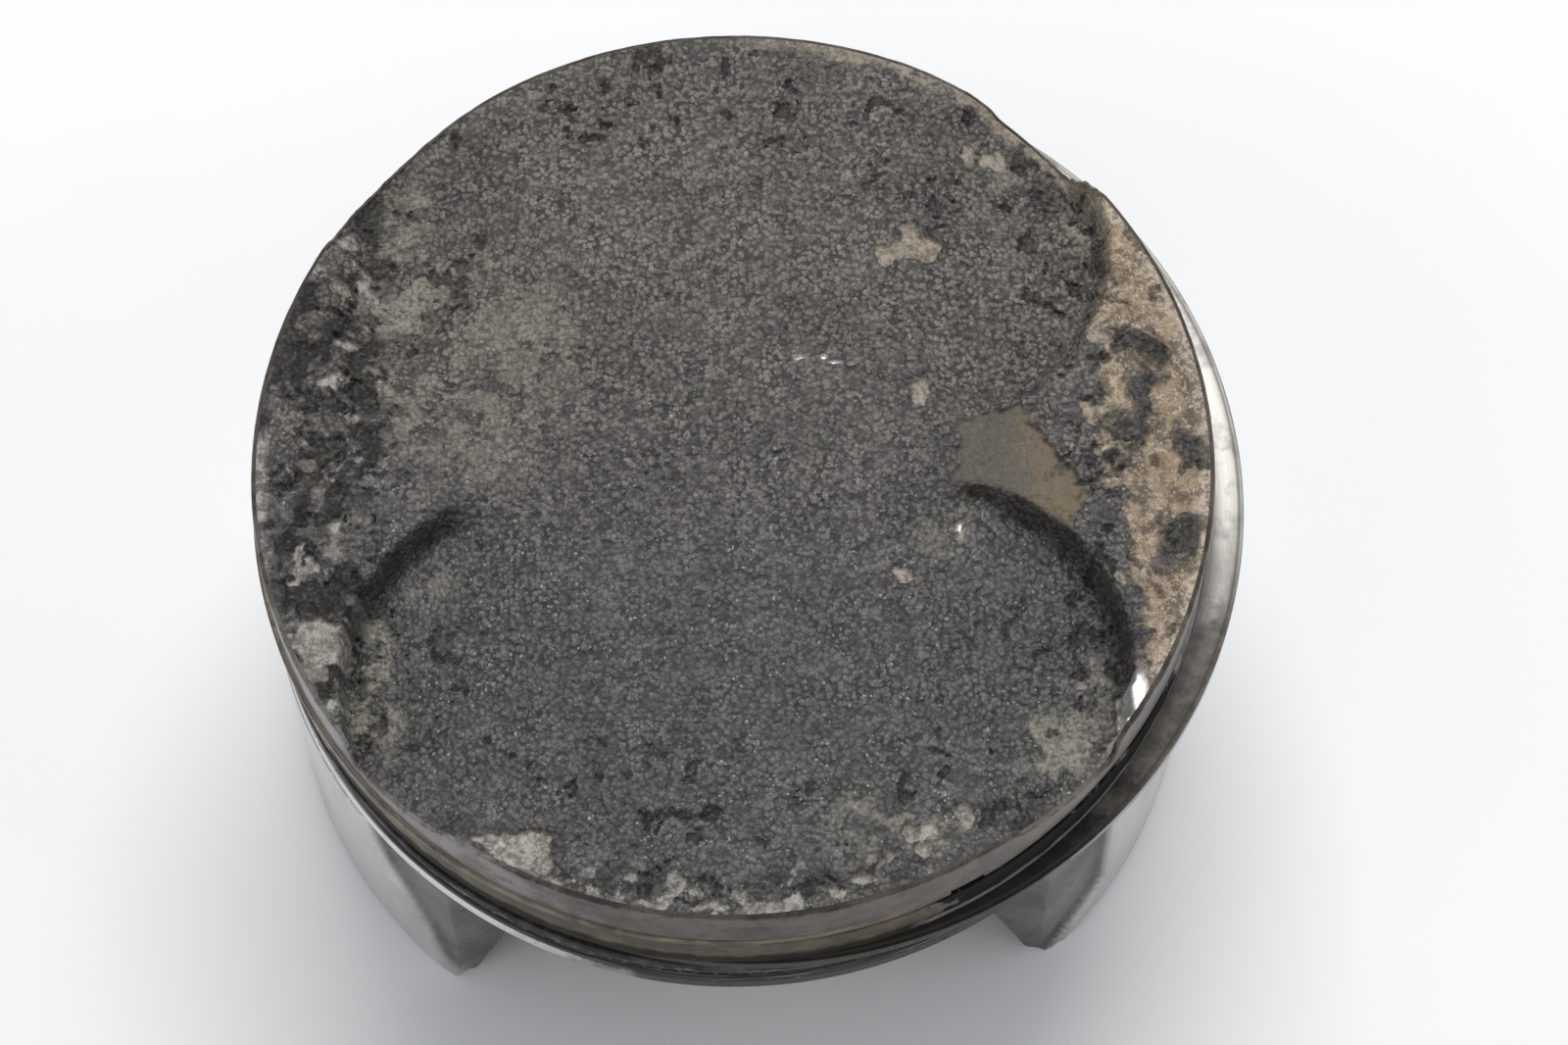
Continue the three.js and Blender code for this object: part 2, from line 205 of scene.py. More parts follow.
def depth_inside(x, y, corners):
    """How far inside a convex outline each point is, in millimetres."""
    depth = np.full(x.shape, 99.0)
    for (ax, ay), (bx, by) in zip(corners, corners[1:] + corners[:1]):
        length = math.hypot(bx - ax, by - ay)
        depth = np.minimum(depth, ((bx - ax) * (y - ay) - (by - ay) * (x - ax)) / length)
    return depth


def crown_metal(x, y, ragged):
    """Height of the machined crown, how deep the nearest pocket is cut, and the distance to its wall."""
    dome = -DOME_SLOPE * np.clip(np.hypot(x, y) - DOME_TOP_MM, 0.0, DOME_FOOT_MM - DOME_TOP_MM)
    metal = dome
    depth = np.zeros(x.shape)
    gap = np.full(x.shape, 99.0)
    for cx, cy, radius, slope, start, shows in POCKETS_MM:
        distance = np.hypot(x - cx, y - cy) - radius
        drop = np.maximum(dome + slope * (x * np.sign(cx) - start), 0.0)
        steep = smooth(shows - 0.5, shows + 0.5, drop)
        soft = 4.2 * (1 - steep)
        fillet = 0.45 + 0.55 * (cy > 0)
        inside = 1.0 - smooth(-0.9 * fillet - soft, fillet + 0.25 * soft, distance + ragged)
        metal = np.minimum(metal, dome - drop * inside)
        drop = drop * steep
        nearest = distance < gap
        depth = np.where(nearest, drop, depth)
        gap = np.where(nearest, distance, gap)
    return metal, depth, gap


def flaked(x, y, ragged_x, ragged_y):
    """Where the crust has come off, how warm the metal is in colour, and the dark ring round it: the broken
    crust's edge with a painted shadow.
    """
    chips, warmth, broken_edge_and_shadow = np.zeros(x.shape), np.zeros(x.shape), np.zeros(x.shape)
    for cx, cy, half_x, half_y, clean, warm in CHIPS_MM:
        far = np.hypot((x - cx + ragged_x) / half_x, (y - cy + ragged_y) / half_y)
        amount = clean * smooth(1.18, 1.0, far)
        warmth = np.where(amount > chips, warm, warmth)
        # A dark ring round each chip: broken crust with its painted shadow.
        broken_edge_and_shadow = np.maximum(broken_edge_and_shadow, clean * smooth(1.75, 1.2, far))
        chips = np.maximum(chips, amount)
    return chips, warmth, broken_edge_and_shadow


def granular(x, y, fine_x, fine_y):
    """Height of the crust's granules in millimetres, and from 0 to 1 where it is cracked."""
    near, _, tone = grains(x + 0.5 * fine_x, y + 0.5 * fine_y, 0.56, 3)
    clump, clump_next, clump_tone = grains(x + 1.6 * fine_x, y + 1.6 * fine_y, 1.5, 9)
    granule = 0.15 * (0.30 - near ** 2) + 0.06 * (tone - 0.5) + 0.05 * (clump_tone - 0.5)
    crack = smooth(0.17, 0.0, clump_next - clump + 0.05) * smooth(0.40, 0.56, fractal(x, y, 7.0, 131, 4))
    return granule, crack


def crown_fields(x, y):
    """Height of the crown in millimetres, and from 0 to 1 what its surface is made of."""
    radius = np.hypot(x, y)
    wander_x, wander_y = fractal(x, y, 6.0, 11, 5) - 0.5, fractal(x, y, 6.0, 23, 5) - 0.5
    fine_x, fine_y = fractal(x, y, 1.3, 31, 4) - 0.5, fractal(x, y, 1.3, 37, 4) - 0.5
    ragged_x, ragged_y = 1.5 * fine_x + 0.8 * wander_x, 1.5 * fine_y + 0.8 * wander_y
    warp_x, warp_y = x + 2.4 * wander_x + 1.3 * fine_x, y + 2.4 * wander_y + 1.3 * fine_y
    speckle = fractal(x, y, 1.5, 71, 5)
    blotch = fractal(warp_x, warp_y, 4.2, 53, 5)
    lumps = fractal(warp_x, warp_y, 2.8, 97, 5)
    metal, depth, gap = crown_metal(x, y, 0.9 * fine_x)
    walled = smooth(0.4, 1.8, depth)
    outside = smooth(-0.1, 0.9, gap) + (1 - smooth(-0.1, 0.9, gap)) * (1 - walled)

    # Zones: tan on the intake side, soot on the exhaust side, the scraped wedge and the rim.
    tan_start = 28.3 + 2.4 * smooth(2.0, -6.0, y)
    intake = smooth(0.0, 0.8, x - tan_start + 4.0 * fine_x + 2.6 * wander_x) * outside
    exhaust = smooth(26.2, 28.6, -x + 2.4 * fine_x + 2.0 * wander_y) * (0.45 + 0.55 * outside)
    wedge = smooth(-0.3, 0.3, depth_inside(x, y, WEDGE_MM) + 2.2 * fine_x + 1.2 * wander_x) * outside
    rim = smooth(36.3, 37.3, radius + 1.6 * fine_x + 1.2 * wander_x)
    scrape = wedge * (1 - 0.2 * smooth(0.5, 0.7, speckle))

    # Bare metal, tan coat and ash.
    chips, warmth, broken_edge_and_shadow = flaked(x, y, ragged_x, ragged_y)
    front = smooth(-31.5, -36.0, y) * smooth(0.58, 0.63, speckle)
    left_specks = exhaust * smooth(0.61, 0.645, fractal(x, y, 1.3, 83, 4))
    left_rim = rim * smooth(-34.5, -36.5, x) * smooth(0.36, 0.50, speckle)
    shine = patches(x, y, [(*spot, 1.0) for spot in SHINY_MM], 0.3 * fine_x, 0.3 * fine_y)
    bare = np.maximum.reduce([chips, 0.75 * front, 0.8 * left_specks, 0.7 * left_rim, shine])
    tan_rim = 0.45 * rim * smooth(12.0, 26.0, x + 0.4 * y)
    tan_thin = np.maximum(intake * smooth(0.31, 0.42, blotch), tan_rim)
    tan = np.maximum(tan_thin, bare * warmth)
    ash_grain = fractal(warp_x, warp_y, 1.6, 89, 5)
    ash = patches(x, y, ASH_MM, 2 * ragged_x, 2 * ragged_y) * smooth(0.42, 0.56, ash_grain)

    # Soot and painted shade: soot marks, painted shade on the pockets' walls, pits, the exhaust side, and
    # broken edges round the chips with a painted shadow.
    marks = patches(x, y, SOOT_MM, 0.7 * ragged_x + 0.5 * fine_y, 0.7 * ragged_y + 0.5 * fine_x)
    wall_zone = np.exp(-((gap + 0.25) / 0.75) ** 2) * walled
    # Painted shade on the pockets' walls, stronger towards the front and fading out near the rim.
    painted_wall_shade = (0.12 + 0.56 * smooth(6.0, -2.0, y)) * smooth(36.8, 33.5, radius)
    painted_wall_shade = painted_wall_shade * (0.6 + 0.8 * (speckle - 0.3))
    pits = smooth(0.675, 0.73, fractal(warp_x, warp_y, 1.5, 149, 4)) * smooth(16.0, 30.0, radius)
    soot_and_shade = np.maximum.reduce([
        marks * smooth(0.40, 0.53, 1.0 - speckle), painted_wall_shade * wall_zone, 0.8 * pits,
        0.92 * exhaust * smooth(0.55, 0.455, lumps), 0.6 * intake * smooth(0.40, 0.30, blotch),
        0.6 * broken_edge_and_shadow * smooth(0.42, 0.56, speckle)])
    soot_and_shade = soot_and_shade * (1 - 0.9 * np.clip(chips + shine, 0, 1))

    # How thick the crust is, then its granules, pits and cracks.
    swell = fractal(x, y, 9.0, 101, 3) - 0.5
    ragged_zone = np.clip(wall_zone + exhaust + smooth(31.0, 36.0, radius) * (1 - intake), 0, 1)
    thickness = 0.36 + 0.22 * swell + 0.34 * (lumps - 0.5) + 0.95 * ragged_zone * (lumps - 0.42)
    thickness = np.maximum(thickness, 0.04)
    thin = np.clip(np.maximum.reduce([1.3 * bare, 0.93 * tan_thin, 0.95 * scrape, 0.8 * rim]), 0, 1)
    thickness = thickness * (1 - 0.97 * thin) * smooth(38.2, 35.4, radius)
    crust = np.clip(thickness / 0.2, 0, 1)
    granule, crack = granular(x, y, fine_x, fine_y)
    height = metal + thickness + crust * (granule - 0.14 * crack - 0.25 * pits)
    height = height + (1 - crust) * (0.03 * (speckle - 0.5) + 0.05 * (blotch - 0.5) * intake) - 0.08 * shine
    fields = {"bare": bare, "tan": tan, "soot_and_shade": soot_and_shade, "ash": ash * crust, "shine": shine,
              "scrape": scrape, "crack": crack * crust, "coat": intake, "rim": rim}
    return height, {name: np.clip(value, 0.0, 1.0) for name, value in fields.items()}


# ---- Mesh building ----


def mesh_object(name, verts_mm, faces, shade_smooth=True):
    mesh = bpy.data.meshes.new(name)
    mesh.from_pydata((np.asarray(verts_mm, float) * MM).tolist(), [], faces)
    mesh.validate()
    if shade_smooth:
        mesh.shade_smooth()
    obj = bpy.data.objects.new(name, mesh)
    bpy.context.scene.collection.objects.link(obj)
    return obj


def grid_faces(rows, columns, close_columns=False, close_rows=False):
    """Quads of a grid of rows x columns points, row by row."""
    r = np.arange(rows if close_rows else rows - 1)
    c = np.arange(columns if close_columns else columns - 1)
    r, c = np.meshgrid(r, c, indexing="ij")
    r1, c1 = (r + 1) % rows, (c + 1) % columns
    quads = np.stack([r * columns + c, r * columns + c1, r1 * columns + c1, r1 * columns + c], -1)
    return quads.reshape(-1, 4)


def full_turn(steps):
    return [2 * math.pi * k / steps for k in range(steps)]


def swept(name, angles, loops, centre=(0.0, 0.0), closed=False, round_y=False):
    """A solid swept round Z or Y; at each angle a loop of (radius, height) points, anticlockwise."""
    size = len(loops[0])
    verts = [
        (centre[0] + r * math.cos(a), centre[1] + r * math.sin(a), height)
        for a, loop in zip(angles, loops) for r, height in loop
    ]
    faces = grid_faces(len(angles), size, close_columns=True, close_rows=closed)[:, ::-1].tolist()
    if not closed:
        faces += [list(range(size)), list(range((len(angles) - 1) * size, len(angles) * size))[::-1]]
    if round_y:
        verts = [(x, height, z) for x, z, height in verts]
        faces = [face[::-1] for face in faces]
    return mesh_object(name, verts, faces)


def set_fields(obj, fields):
    for name, values in fields.items():
        layer = obj.data.attributes.new(name, "FLOAT", "POINT")
        layer.data.foreach_set("value", np.asarray(values, np.float32))


def points_mm(obj):
    points = np.empty(len(obj.data.vertices) * 3, np.float64)
    obj.data.vertices.foreach_get("co", points)
    return points.reshape(-1, 3) / MM


def sharpen(obj, degrees=35.0):
    """Edges sharper than this shade as edges."""
    obj.data.set_sharp_from_angle(angle=math.radians(degrees))


def baked(obj):
    """Applies the object's modifiers to its mesh."""
    graph = bpy.context.evaluated_depsgraph_get()
    mesh = bpy.data.meshes.new_from_object(obj.evaluated_get(graph))
    obj.modifiers.clear()
    obj.data = mesh


# ---- Crown surface: four quarters of a fine grid laid out as a disc ----
HALF_GRID = 305     # cells from the middle of the crown to its edge
CRUST_RADIUS_MM = 37.6
CRUST_FLOOR_MM = -5.75


def disc_points(u, v):
    """Maps the square from -1 to 1 onto the disc, keeping areas even."""
    wide = np.abs(u) > np.abs(v)
    with np.errstate(divide="ignore", invalid="ignore"):
        angle = np.where(wide, math.pi / 4 * np.nan_to_num(v / u),
                         math.pi / 2 - math.pi / 4 * np.nan_to_num(u / v))
    radius = np.where(wide, u, v) * CRUST_RADIUS_MM
    return radius * np.cos(angle), radius * np.sin(angle)


def crown_quarter(name, side_x, side_y):
    steps = np.arange(HALF_GRID + 1) / HALF_GRID
    u, v = np.meshgrid(steps * side_x, steps * side_y, indexing="ij")
    x, y = disc_points(u, v)
    x, y = x.ravel(), y.ravel()
    height, fields = crown_fields(x, y)
    n = HALF_GRID + 1
    top = np.stack([x, y, height], 1)
    faces = grid_faces(n, n)
    if side_x * side_y < 0:
        faces = faces[:, ::-1]
    index = np.arange(n * n).reshape(n, n)
    rim = np.concatenate([index[:-1, 0], index[-1, :-1], index[:0:-1, -1], index[0, :0:-1]])
    if side_x * side_y < 0:
        rim = rim[::-1]
    base = np.stack([x[rim], y[rim], np.full(len(rim), CRUST_FLOOR_MM)], 1)
    low = n * n + np.arange(len(rim))
    walls = np.stack([rim, low, np.roll(low, -1), np.roll(rim, -1)], 1)
    all_faces = faces.tolist() + walls.tolist() + [low[::-1].tolist()]
    obj = mesh_object(name, np.concatenate([top, base]), all_faces)
    sharpen(obj, 70)
    pad = np.zeros(len(rim))
    set_fields(obj, {key: np.concatenate([value, pad]) for key, value in fields.items()})
    return obj


# ---- Ring belt: lands and grooves, with a rim that follows the crown ----
BELT_INNER_MM = 31.3


def groove_points(below, height, floor):
    upper = RIM_MM - below
    lower = upper - height
    edge = 0.08
    return [
        (CROWN_RADIUS_MM, upper + edge), (CROWN_RADIUS_MM - edge, upper), (floor, upper),
        (floor, lower), (CROWN_RADIUS_MM - edge, lower), (CROWN_RADIUS_MM, lower - edge),
    ]


def rim_angles():
    """The directions of the crown grid's edge points, so that belt and crown meet point to point."""
    steps = np.arange(-HALF_GRID, HALF_GRID) / HALF_GRID
    quarter = math.pi / 4 * steps
    return np.concatenate([quarter + k * math.pi / 2 for k in range(4)])


def ring_belt():
    angles = rim_angles()
    rims = crown_fields(CRUST_RADIUS_MM * np.cos(angles), CRUST_RADIUS_MM * np.sin(angles))[0]
    rough = fractal(angles * CROWN_RADIUS_MM, angles * 0.0, 1.4, 171, 4) - 0.5
    lands = [point for groove in GROOVES_MM for point in groove_points(*groove)]
    inner, outer, foot, seat = BELT_INNER_MM, CROWN_RADIUS_MM, BELT_FOOT_MM, CRUST_FLOOR_MM - 0.15
    below = [(inner, seat), (inner, foot + 0.1), (inner + 0.1, foot), (outer - 0.3, foot),
             (outer, foot + 0.3)]
    loops = []
    for rim, drop in zip(rims, 0.30 + 0.22 * rough):
        above = [(outer, rim - drop - 0.12), (outer - 0.06, rim - drop * 0.6),
                 (outer - 0.22, rim - 0.06), (CRUST_RADIUS_MM, rim),
                 (CRUST_RADIUS_MM - 0.05, rim - 0.35), (CRUST_RADIUS_MM - 0.3, seat)]
        loops.append(below + lands[::-1] + above)
    obj = swept("ring_belt", angles, loops, closed=True)
    sharpen(obj, 40)
    return obj


# ---- Casting below and inside the belt, with cast edges rounded and machined faces kept true ----


def belt_cutter():
    """Takes away the CAD solid's belt and the skin of its crown, which have meshes of their own."""
    axis, inner, reach, over, steps = 0.02, BELT_INNER_MM + 0.15, 60.0, 10.0, 192
    top, foot = CRUST_FLOOR_MM - 0.2, BELT_FOOT_MM + 0.25
    profile = [(axis, top), (inner, top), (inner, foot), (reach, foot), (reach, over), (axis, over)]
    return swept("belt_cutter", full_turn(steps), [profile] * steps, closed=True)


def skirt_casting():
    source = nodes["piston_body"]
    obj = bpy.data.objects.new("skirt_casting", source.data.copy())
    bpy.context.scene.collection.objects.link(obj)
    work = bmesh.new()
    work.from_mesh(obj.data)
    bmesh.ops.remove_doubles(work, verts=work.verts, dist=0.002 * MM)
    work.to_mesh(obj.data)
    work.free()
    cutter = belt_cutter()
    cut = obj.modifiers.new("cut", "BOOLEAN")
    cut.operation, cut.solver, cut.object = "DIFFERENCE", "EXACT", cutter
    remesh = obj.modifiers.new("remesh", "REMESH")
    remesh.mode, remesh.voxel_size = "VOXEL", 0.45 * MM
    relax = obj.modifiers.new("relax", "SMOOTH")
    relax.factor, relax.iterations = 0.5, 4
    baked(obj)
    bpy.data.objects.remove(cutter)
    true_machined_faces(obj)
    obj.data.shade_smooth()
    return obj


def skirt_edge(x, z):
    """How far round, as |y|, the turned skirt reaches at each height; it sweeps wider at the foot."""
    swept = np.interp(z, (-42.0, -35.5, -29.0, -23.4, BELT_FOOT_MM), (28.3, 26.9, 25.0, 23.2, 22.4))
    upright = np.interp(z, (-42.0, -39.4, -37.2, BELT_FOOT_MM), (28.2, 25.3, 23.5, 23.4))
    return np.where(x < 0, swept, upright)


def true_machined_faces(obj):
    """Puts the remeshed skirt, foot, bores and boss faces back on their exact surfaces."""
    points = points_mm(obj)
    x, y, z = points.T
    reach, skirt_half, step = 0.22, 28.4, SKIRT_RADIUS_MM - FLANK_RADIUS_MM
    radius = np.hypot(x, y)
    wide = np.abs(y)
    on = (z < BELT_FOOT_MM + 0.1) & (z > FOOT_MM - 0.1) & (wide < skirt_half)
    on &= (radius > FLANK_RADIUS_MM - reach) & (radius < SKIRT_RADIUS_MM + reach)
    stand = FLANK_RADIUS_MM + step * smooth(0.95, -0.55, wide - skirt_edge(x, z))
    stand = stand - 0.35 * smooth(FOOT_MM + 0.5, FOOT_MM, z)
    stand = stand - 0.7 * smooth(BELT_FOOT_MM - 1.0, BELT_FOOT_MM - 0.35, z)
    points[on, :2] *= (stand / radius)[on][:, None]
    bore = np.hypot(x, z - PIN_HEIGHT_MM)
    for true_radius, low, high in ((PIN_BORE_MM, 13.4, 25.2), (BOSS_MM, 13.5, 27.5)):
        on = (np.abs(bore - true_radius) < reach) & (np.abs(y) > low) & (np.abs(y) < high)
        on &= (z < PIN_HEIGHT_MM) | (true_radius == PIN_BORE_MM)
        scale = true_radius / bore[on]
        x[on] *= scale
        z[on] = PIN_HEIGHT_MM + (z[on] - PIN_HEIGHT_MM) * scale
    on = (np.abs(np.abs(y) - BOSS_FACE_MM) < reach) & (bore > PIN_BORE_MM + 0.5) & (bore < BOSS_MM - 0.4)
    y[on] = BOSS_FACE_MM * np.sign(y[on])
    z[np.abs(z - FOOT_MM) < 0.15] = FOOT_MM
    obj.data.vertices.foreach_set("co", (points * MM).ravel())
    obj.data.update()


# ---- Rings, pin and circlips ----
RING_STEPS = 900


def ring_circle(node):
    """Centre, outer radius and height range of a ring node, in millimetres."""
    low, high = (np.array(corner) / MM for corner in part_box(node))
    centre = (low + high) / 2
    return centre[:2], (high[0] - low[0]) / 2, low[2], high[2]


def split_ring(node, name):
    gap_deg, gap, wall, edge = RINGS_MM[node]
    centre, outer, low, high = ring_circle(node)
    half, mid, inner = gap / 2 / outer, (low + high) / 2, outer - wall
    start = math.radians(gap_deg) + half
    angles = np.linspace(start, start + 2 * math.pi - 2 * half, RING_STEPS)
    waver = fractal(angles * outer, angles * 0.0, 5.0, 211 + len(node), 4) - 0.5
    loops = [
        [(inner, low + edge), (inner + edge, low), (face - edge, low),
         (face - edge * 0.3, low + edge * 0.4), (face, low + edge), (face, mid),
         (face, high - edge), (face - edge * 0.3, high - edge * 0.4),
         (face - edge, high), (inner + edge, high), (inner, high - edge)]
        for face in outer + 0.03 * waver * 0.5
    ]
    obj = swept(name, angles, loops, centre)
    sharpen(obj, 50)
    return obj


def oil_expander():
    """A ribbon bent up and down into square waves between the two rails."""
    centre, outer, low, high = ring_circle("oil_expander")
    waves, depth, half_thick = 84, 2.3, 0.14
    gap_deg, half_gap_deg = 60, 1.5
    mid, swing = (low + high) / 2, (high - low) / 2 - half_thick
    start, end = math.radians(gap_deg + half_gap_deg), math.radians(gap_deg - half_gap_deg + 360)
    path = []
    for k in range(waves):
        for part, level in ((0.06, -1), (0.40, -1), (0.50, 0), (0.56, 1), (0.90, 1), (1.0, 0)):
            path.append((start + (end - start) * (k + part) / waves, mid + swing * level))
    verts = []
    for i, (angle, z) in enumerate(path):
        before, after = path[max(i - 1, 0)], path[min(i + 1, len(path) - 1)]
        along, up = (after[0] - before[0]) * outer, after[1] - before[1]
        length = math.hypot(along, up)
        turn, lift = -up / length * half_thick / outer, along / length * half_thick
        for radius, side in ((outer - depth, -1), (outer, -1), (outer, 1), (outer - depth, 1)):
            a, h = angle + side * turn, z + side * lift
            verts.append((centre[0] + radius * math.cos(a), centre[1] + radius * math.sin(a), h))
    faces = grid_faces(len(path), 4, close_columns=True)[:, ::-1].tolist()
    faces += [[0, 1, 2, 3], list(range(len(verts) - 4, len(verts)))[::-1]]
    obj = mesh_object("expander_ribbon", verts, faces, shade_smooth=False)
    bevel = obj.modifiers.new("edges", "BEVEL")
    bevel.width, bevel.segments, bevel.limit_method = 0.04 * MM, 1, "ANGLE"
    baked(obj)
    return obj


def wrist_pin():
    low, high = (np.array(corner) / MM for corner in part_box("wrist_pin"))
    half, outer, centre_z = (high[1] - low[1]) / 2, (high[0] - low[0]) / 2, (low[2] + high[2]) / 2
    hollow, steps = 5.5, 192
    side = [(hollow, half - 4.0), (hollow + 0.1, half - 1.8), (hollow + 0.9, half - 0.25),
            (hollow + 1.3, half), (outer - 1.0, half), (outer - 0.75, half - 0.06),
            (outer - 0.25, half - 0.45), (outer - 0.05, half - 0.8), (outer, half - 1.1)]
    loop = side + [(r, -y) for r, y in side[::-1]]
    obj = swept("pin_tube", full_turn(steps), [loop] * steps, (0.0, centre_z), closed=True, round_y=True)
    sharpen(obj, 30)
    return obj


def circlip(node, name):
    low, high = (np.array(corner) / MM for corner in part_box(node))
    centre_y = (low[1] + high[1]) / 2
    wire = (high[1] - low[1]) / 2
    radius = (high[0] - low[0]) / 2 - wire
    steps, around, blunt, opening_deg = 120, 14, 4, 50
    start, arc = math.radians(opening_deg / 2) - math.pi / 2, math.radians(360 - opening_deg)
    loops = []
    for i in range(steps + 1):
        thick = wire * min(1.0, 0.35 + 0.65 * math.sin(min(i, steps - i, blunt) / blunt * math.pi / 2))
        section = [(radius + thick * math.cos(t), centre_y + thick * math.sin(t)) for t in full_turn(around)]
        loops.append(section)
    angles = [start + arc * i / steps for i in range(steps + 1)]
    return swept(name, angles, loops, (0.0, PIN_HEIGHT_MM), round_y=True)


# ---- Material helpers ----


class Graph:
    """A material's node tree with one Principled shader."""

    def __init__(self, name, **shader_values):
        self.material = bpy.data.materials.new(name)
        self.material.use_nodes = True
        self.tree = self.material.node_tree
        self.tree.nodes.clear()
        self.shader = self.node("ShaderNodeBsdfPrincipled")
        output = self.node("ShaderNodeOutputMaterial")
        self.tree.links.new(self.shader.outputs[0], output.inputs[0])
        self.fed(self.shader, **shader_values)
        self.place = self.node("ShaderNodeTexCoord").outputs["Object"]

    def node(self, kind, **settings):
        made = self.tree.nodes.new(kind)
        for key, value in settings.items():
            setattr(made, key, value)
        return made

    def feed(self, socket, value):
        if isinstance(value, bpy.types.NodeSocket):
            self.tree.links.new(value, socket)
        elif isinstance(value, (tuple, list)):
            socket.default_value = (*value, 1.0)[:len(socket.default_value)]
        else:
            socket.default_value = value

    def fed(self, made, *values, **named):
        """Feeds a node's sockets, the first ones in order and others by name."""
        for socket, value in zip(made.inputs, values):
            self.feed(socket, value)
        for name, value in named.items():
            self.feed(made.inputs[name], value)
        return made

    def shade(self, name, value):
        self.feed(self.shader.inputs[name], value)

    def field(self, name):
        return self.node("ShaderNodeAttribute", attribute_name=name).outputs["Fac"]

    def math(self, operation, *values, clamp=False):
        made = self.node("ShaderNodeMath", operation=operation, use_clamp=clamp)
        return self.fed(made, *values).outputs[0]

    def plus(self, first, second):
        return self.math("ADD", first, second)

    def times(self, *values):
        return functools.reduce(lambda a, b: self.math("MULTIPLY", a, b), values)

    def most(self, *values):
        return functools.reduce(lambda a, b: self.math("MAXIMUM", a, b), values)

    def mix(self, amount, first, second):
        """Colour: first where amount is 0, second where it is 1."""
        made = self.fed(self.node("ShaderNodeMix", data_type="RGBA"), amount)
        self.feed(made.inputs[6], first)
        self.feed(made.inputs[7], second)
        return made.outputs[2]

    def span(self, value, low, high, to_low=0.0, to_high=1.0):
        """to_low where value is at low, to_high where it is at high, with a smooth step between."""
        made = self.node("ShaderNodeMapRange", interpolation_type="SMOOTHSTEP")
        return self.fed(made, value, low, high, to_low, to_high).outputs[0]

    def span_mm(self, value, low_mm, high_mm):
        return self.span(value, low_mm * MM, high_mm * MM)

    def stretched(self, x, y, z, source):
        made = self.node("ShaderNodeMapping")
        return self.fed(made, source, Scale=(x, y, z)).outputs[0]

    def noise(self, per_mm, detail=4.0, rough=0.55, source=None):
        made = self.node("ShaderNodeTexNoise")
        self.fed(made, source or self.place, Scale=per_mm / MM, Detail=detail, Roughness=rough)
        return made.outputs["Fac"]

    def warped(self, by_mm, per_mm):
        """The object's coordinates pushed about by noise."""
        noise = self.fed(self.node("ShaderNodeTexNoise"), self.place, Scale=per_mm / MM)
        centred = self.node("ShaderNodeVectorMath", operation="SUBTRACT")
        self.fed(centred, noise.outputs["Color"], (0.5, 0.5, 0.5))
        pushed = self.node("ShaderNodeVectorMath", operation="MULTIPLY_ADD")
        return self.fed(pushed, centred.outputs[0], (by_mm * MM * 2,) * 3, self.place).outputs[0]

    def cells(self, per_mm, source):
        """Distance to the nearest of scattered points, and that point's random tone."""
        made = self.fed(self.node("ShaderNodeTexVoronoi"), source, Scale=per_mm / MM)
        tone = self.fed(self.node("ShaderNodeSeparateColor"), made.outputs["Color"])
        return made.outputs["Distance"], tone.outputs[0]

    def axes(self):
        return self.fed(self.node("ShaderNodeSeparateXYZ"), self.place).outputs

    def polar(self, centre=(0.0, 0.0), axis="z"):
        """Height, radius and angle round an axis, each as a socket in metres or radians."""
        x, y, z = self.axes()
        if axis == "y":
            x, y, z = x, z, y
        across = self.math("SUBTRACT", x, centre[0] * MM)
        along = self.math("SUBTRACT", y, centre[1] * MM)
        square = self.plus(self.times(across, across), self.times(along, along))
        return z, self.math("SQRT", square), self.math("ARCTAN2", along, across)

    def joined(self, *parts):
        return self.fed(self.node("ShaderNodeCombineXYZ"), *parts).outputs[0]

    def unrolled(self, angle, height, radius=0.0, round_mm=CROWN_RADIUS_MM):
        """A round surface laid out flat: the way round it, the radius and the height."""
        return self.joined(self.times(angle, round_mm * MM), radius, height)

    def bump(self, height, depth_mm, strength=1.0, under=None):
        made = self.node("ShaderNodeBump")
        self.fed(made, strength, Distance=depth_mm * MM, Height=height)
        if under is not None:
            self.feed(made.inputs["Normal"], under)
        return made.outputs[0]


def sector(graph, angle, start_deg, end_deg, soft_deg, ragged=0.0):
    """1 between two directions, with soft ends; ragged is added to the angle."""
    value = graph.plus(angle, ragged)
    start, end, soft = (math.radians(v) for v in (start_deg, end_deg, soft_deg))
    rise = graph.span(value, start - soft, start + soft)
    return graph.times(rise, graph.span(value, end + soft, end - soft))


# ---- Materials ----
CRUST_DARK, CRUST_BROWN = (0.034, 0.032, 0.030), (0.222, 0.196, 0.162)
CRUST_GREY, CRUST_PALE, CRUST_SEAM_SHADE = (0.132, 0.128, 0.124), (0.25, 0.235, 0.215), (0.022, 0.021, 0.020)
CRUST_FLECK, ASH = (0.42, 0.42, 0.42), (0.310, 0.292, 0.235)
# Near black, for soot and for painted shade.
SOOT_AND_SHADE = (0.014, 0.013, 0.012)
DULL_METAL, BRIGHT_METAL = (0.46, 0.44, 0.40), (0.72, 0.71, 0.70)
TAN_COAT, PALE_TAN, BROWN_COAT = (0.270, 0.198, 0.125), (0.50, 0.43, 0.33), (0.085, 0.060, 0.039)
SCRAPED_GREY, SCRAPED_GOLD = (0.078, 0.065, 0.052), (0.140, 0.100, 0.058)


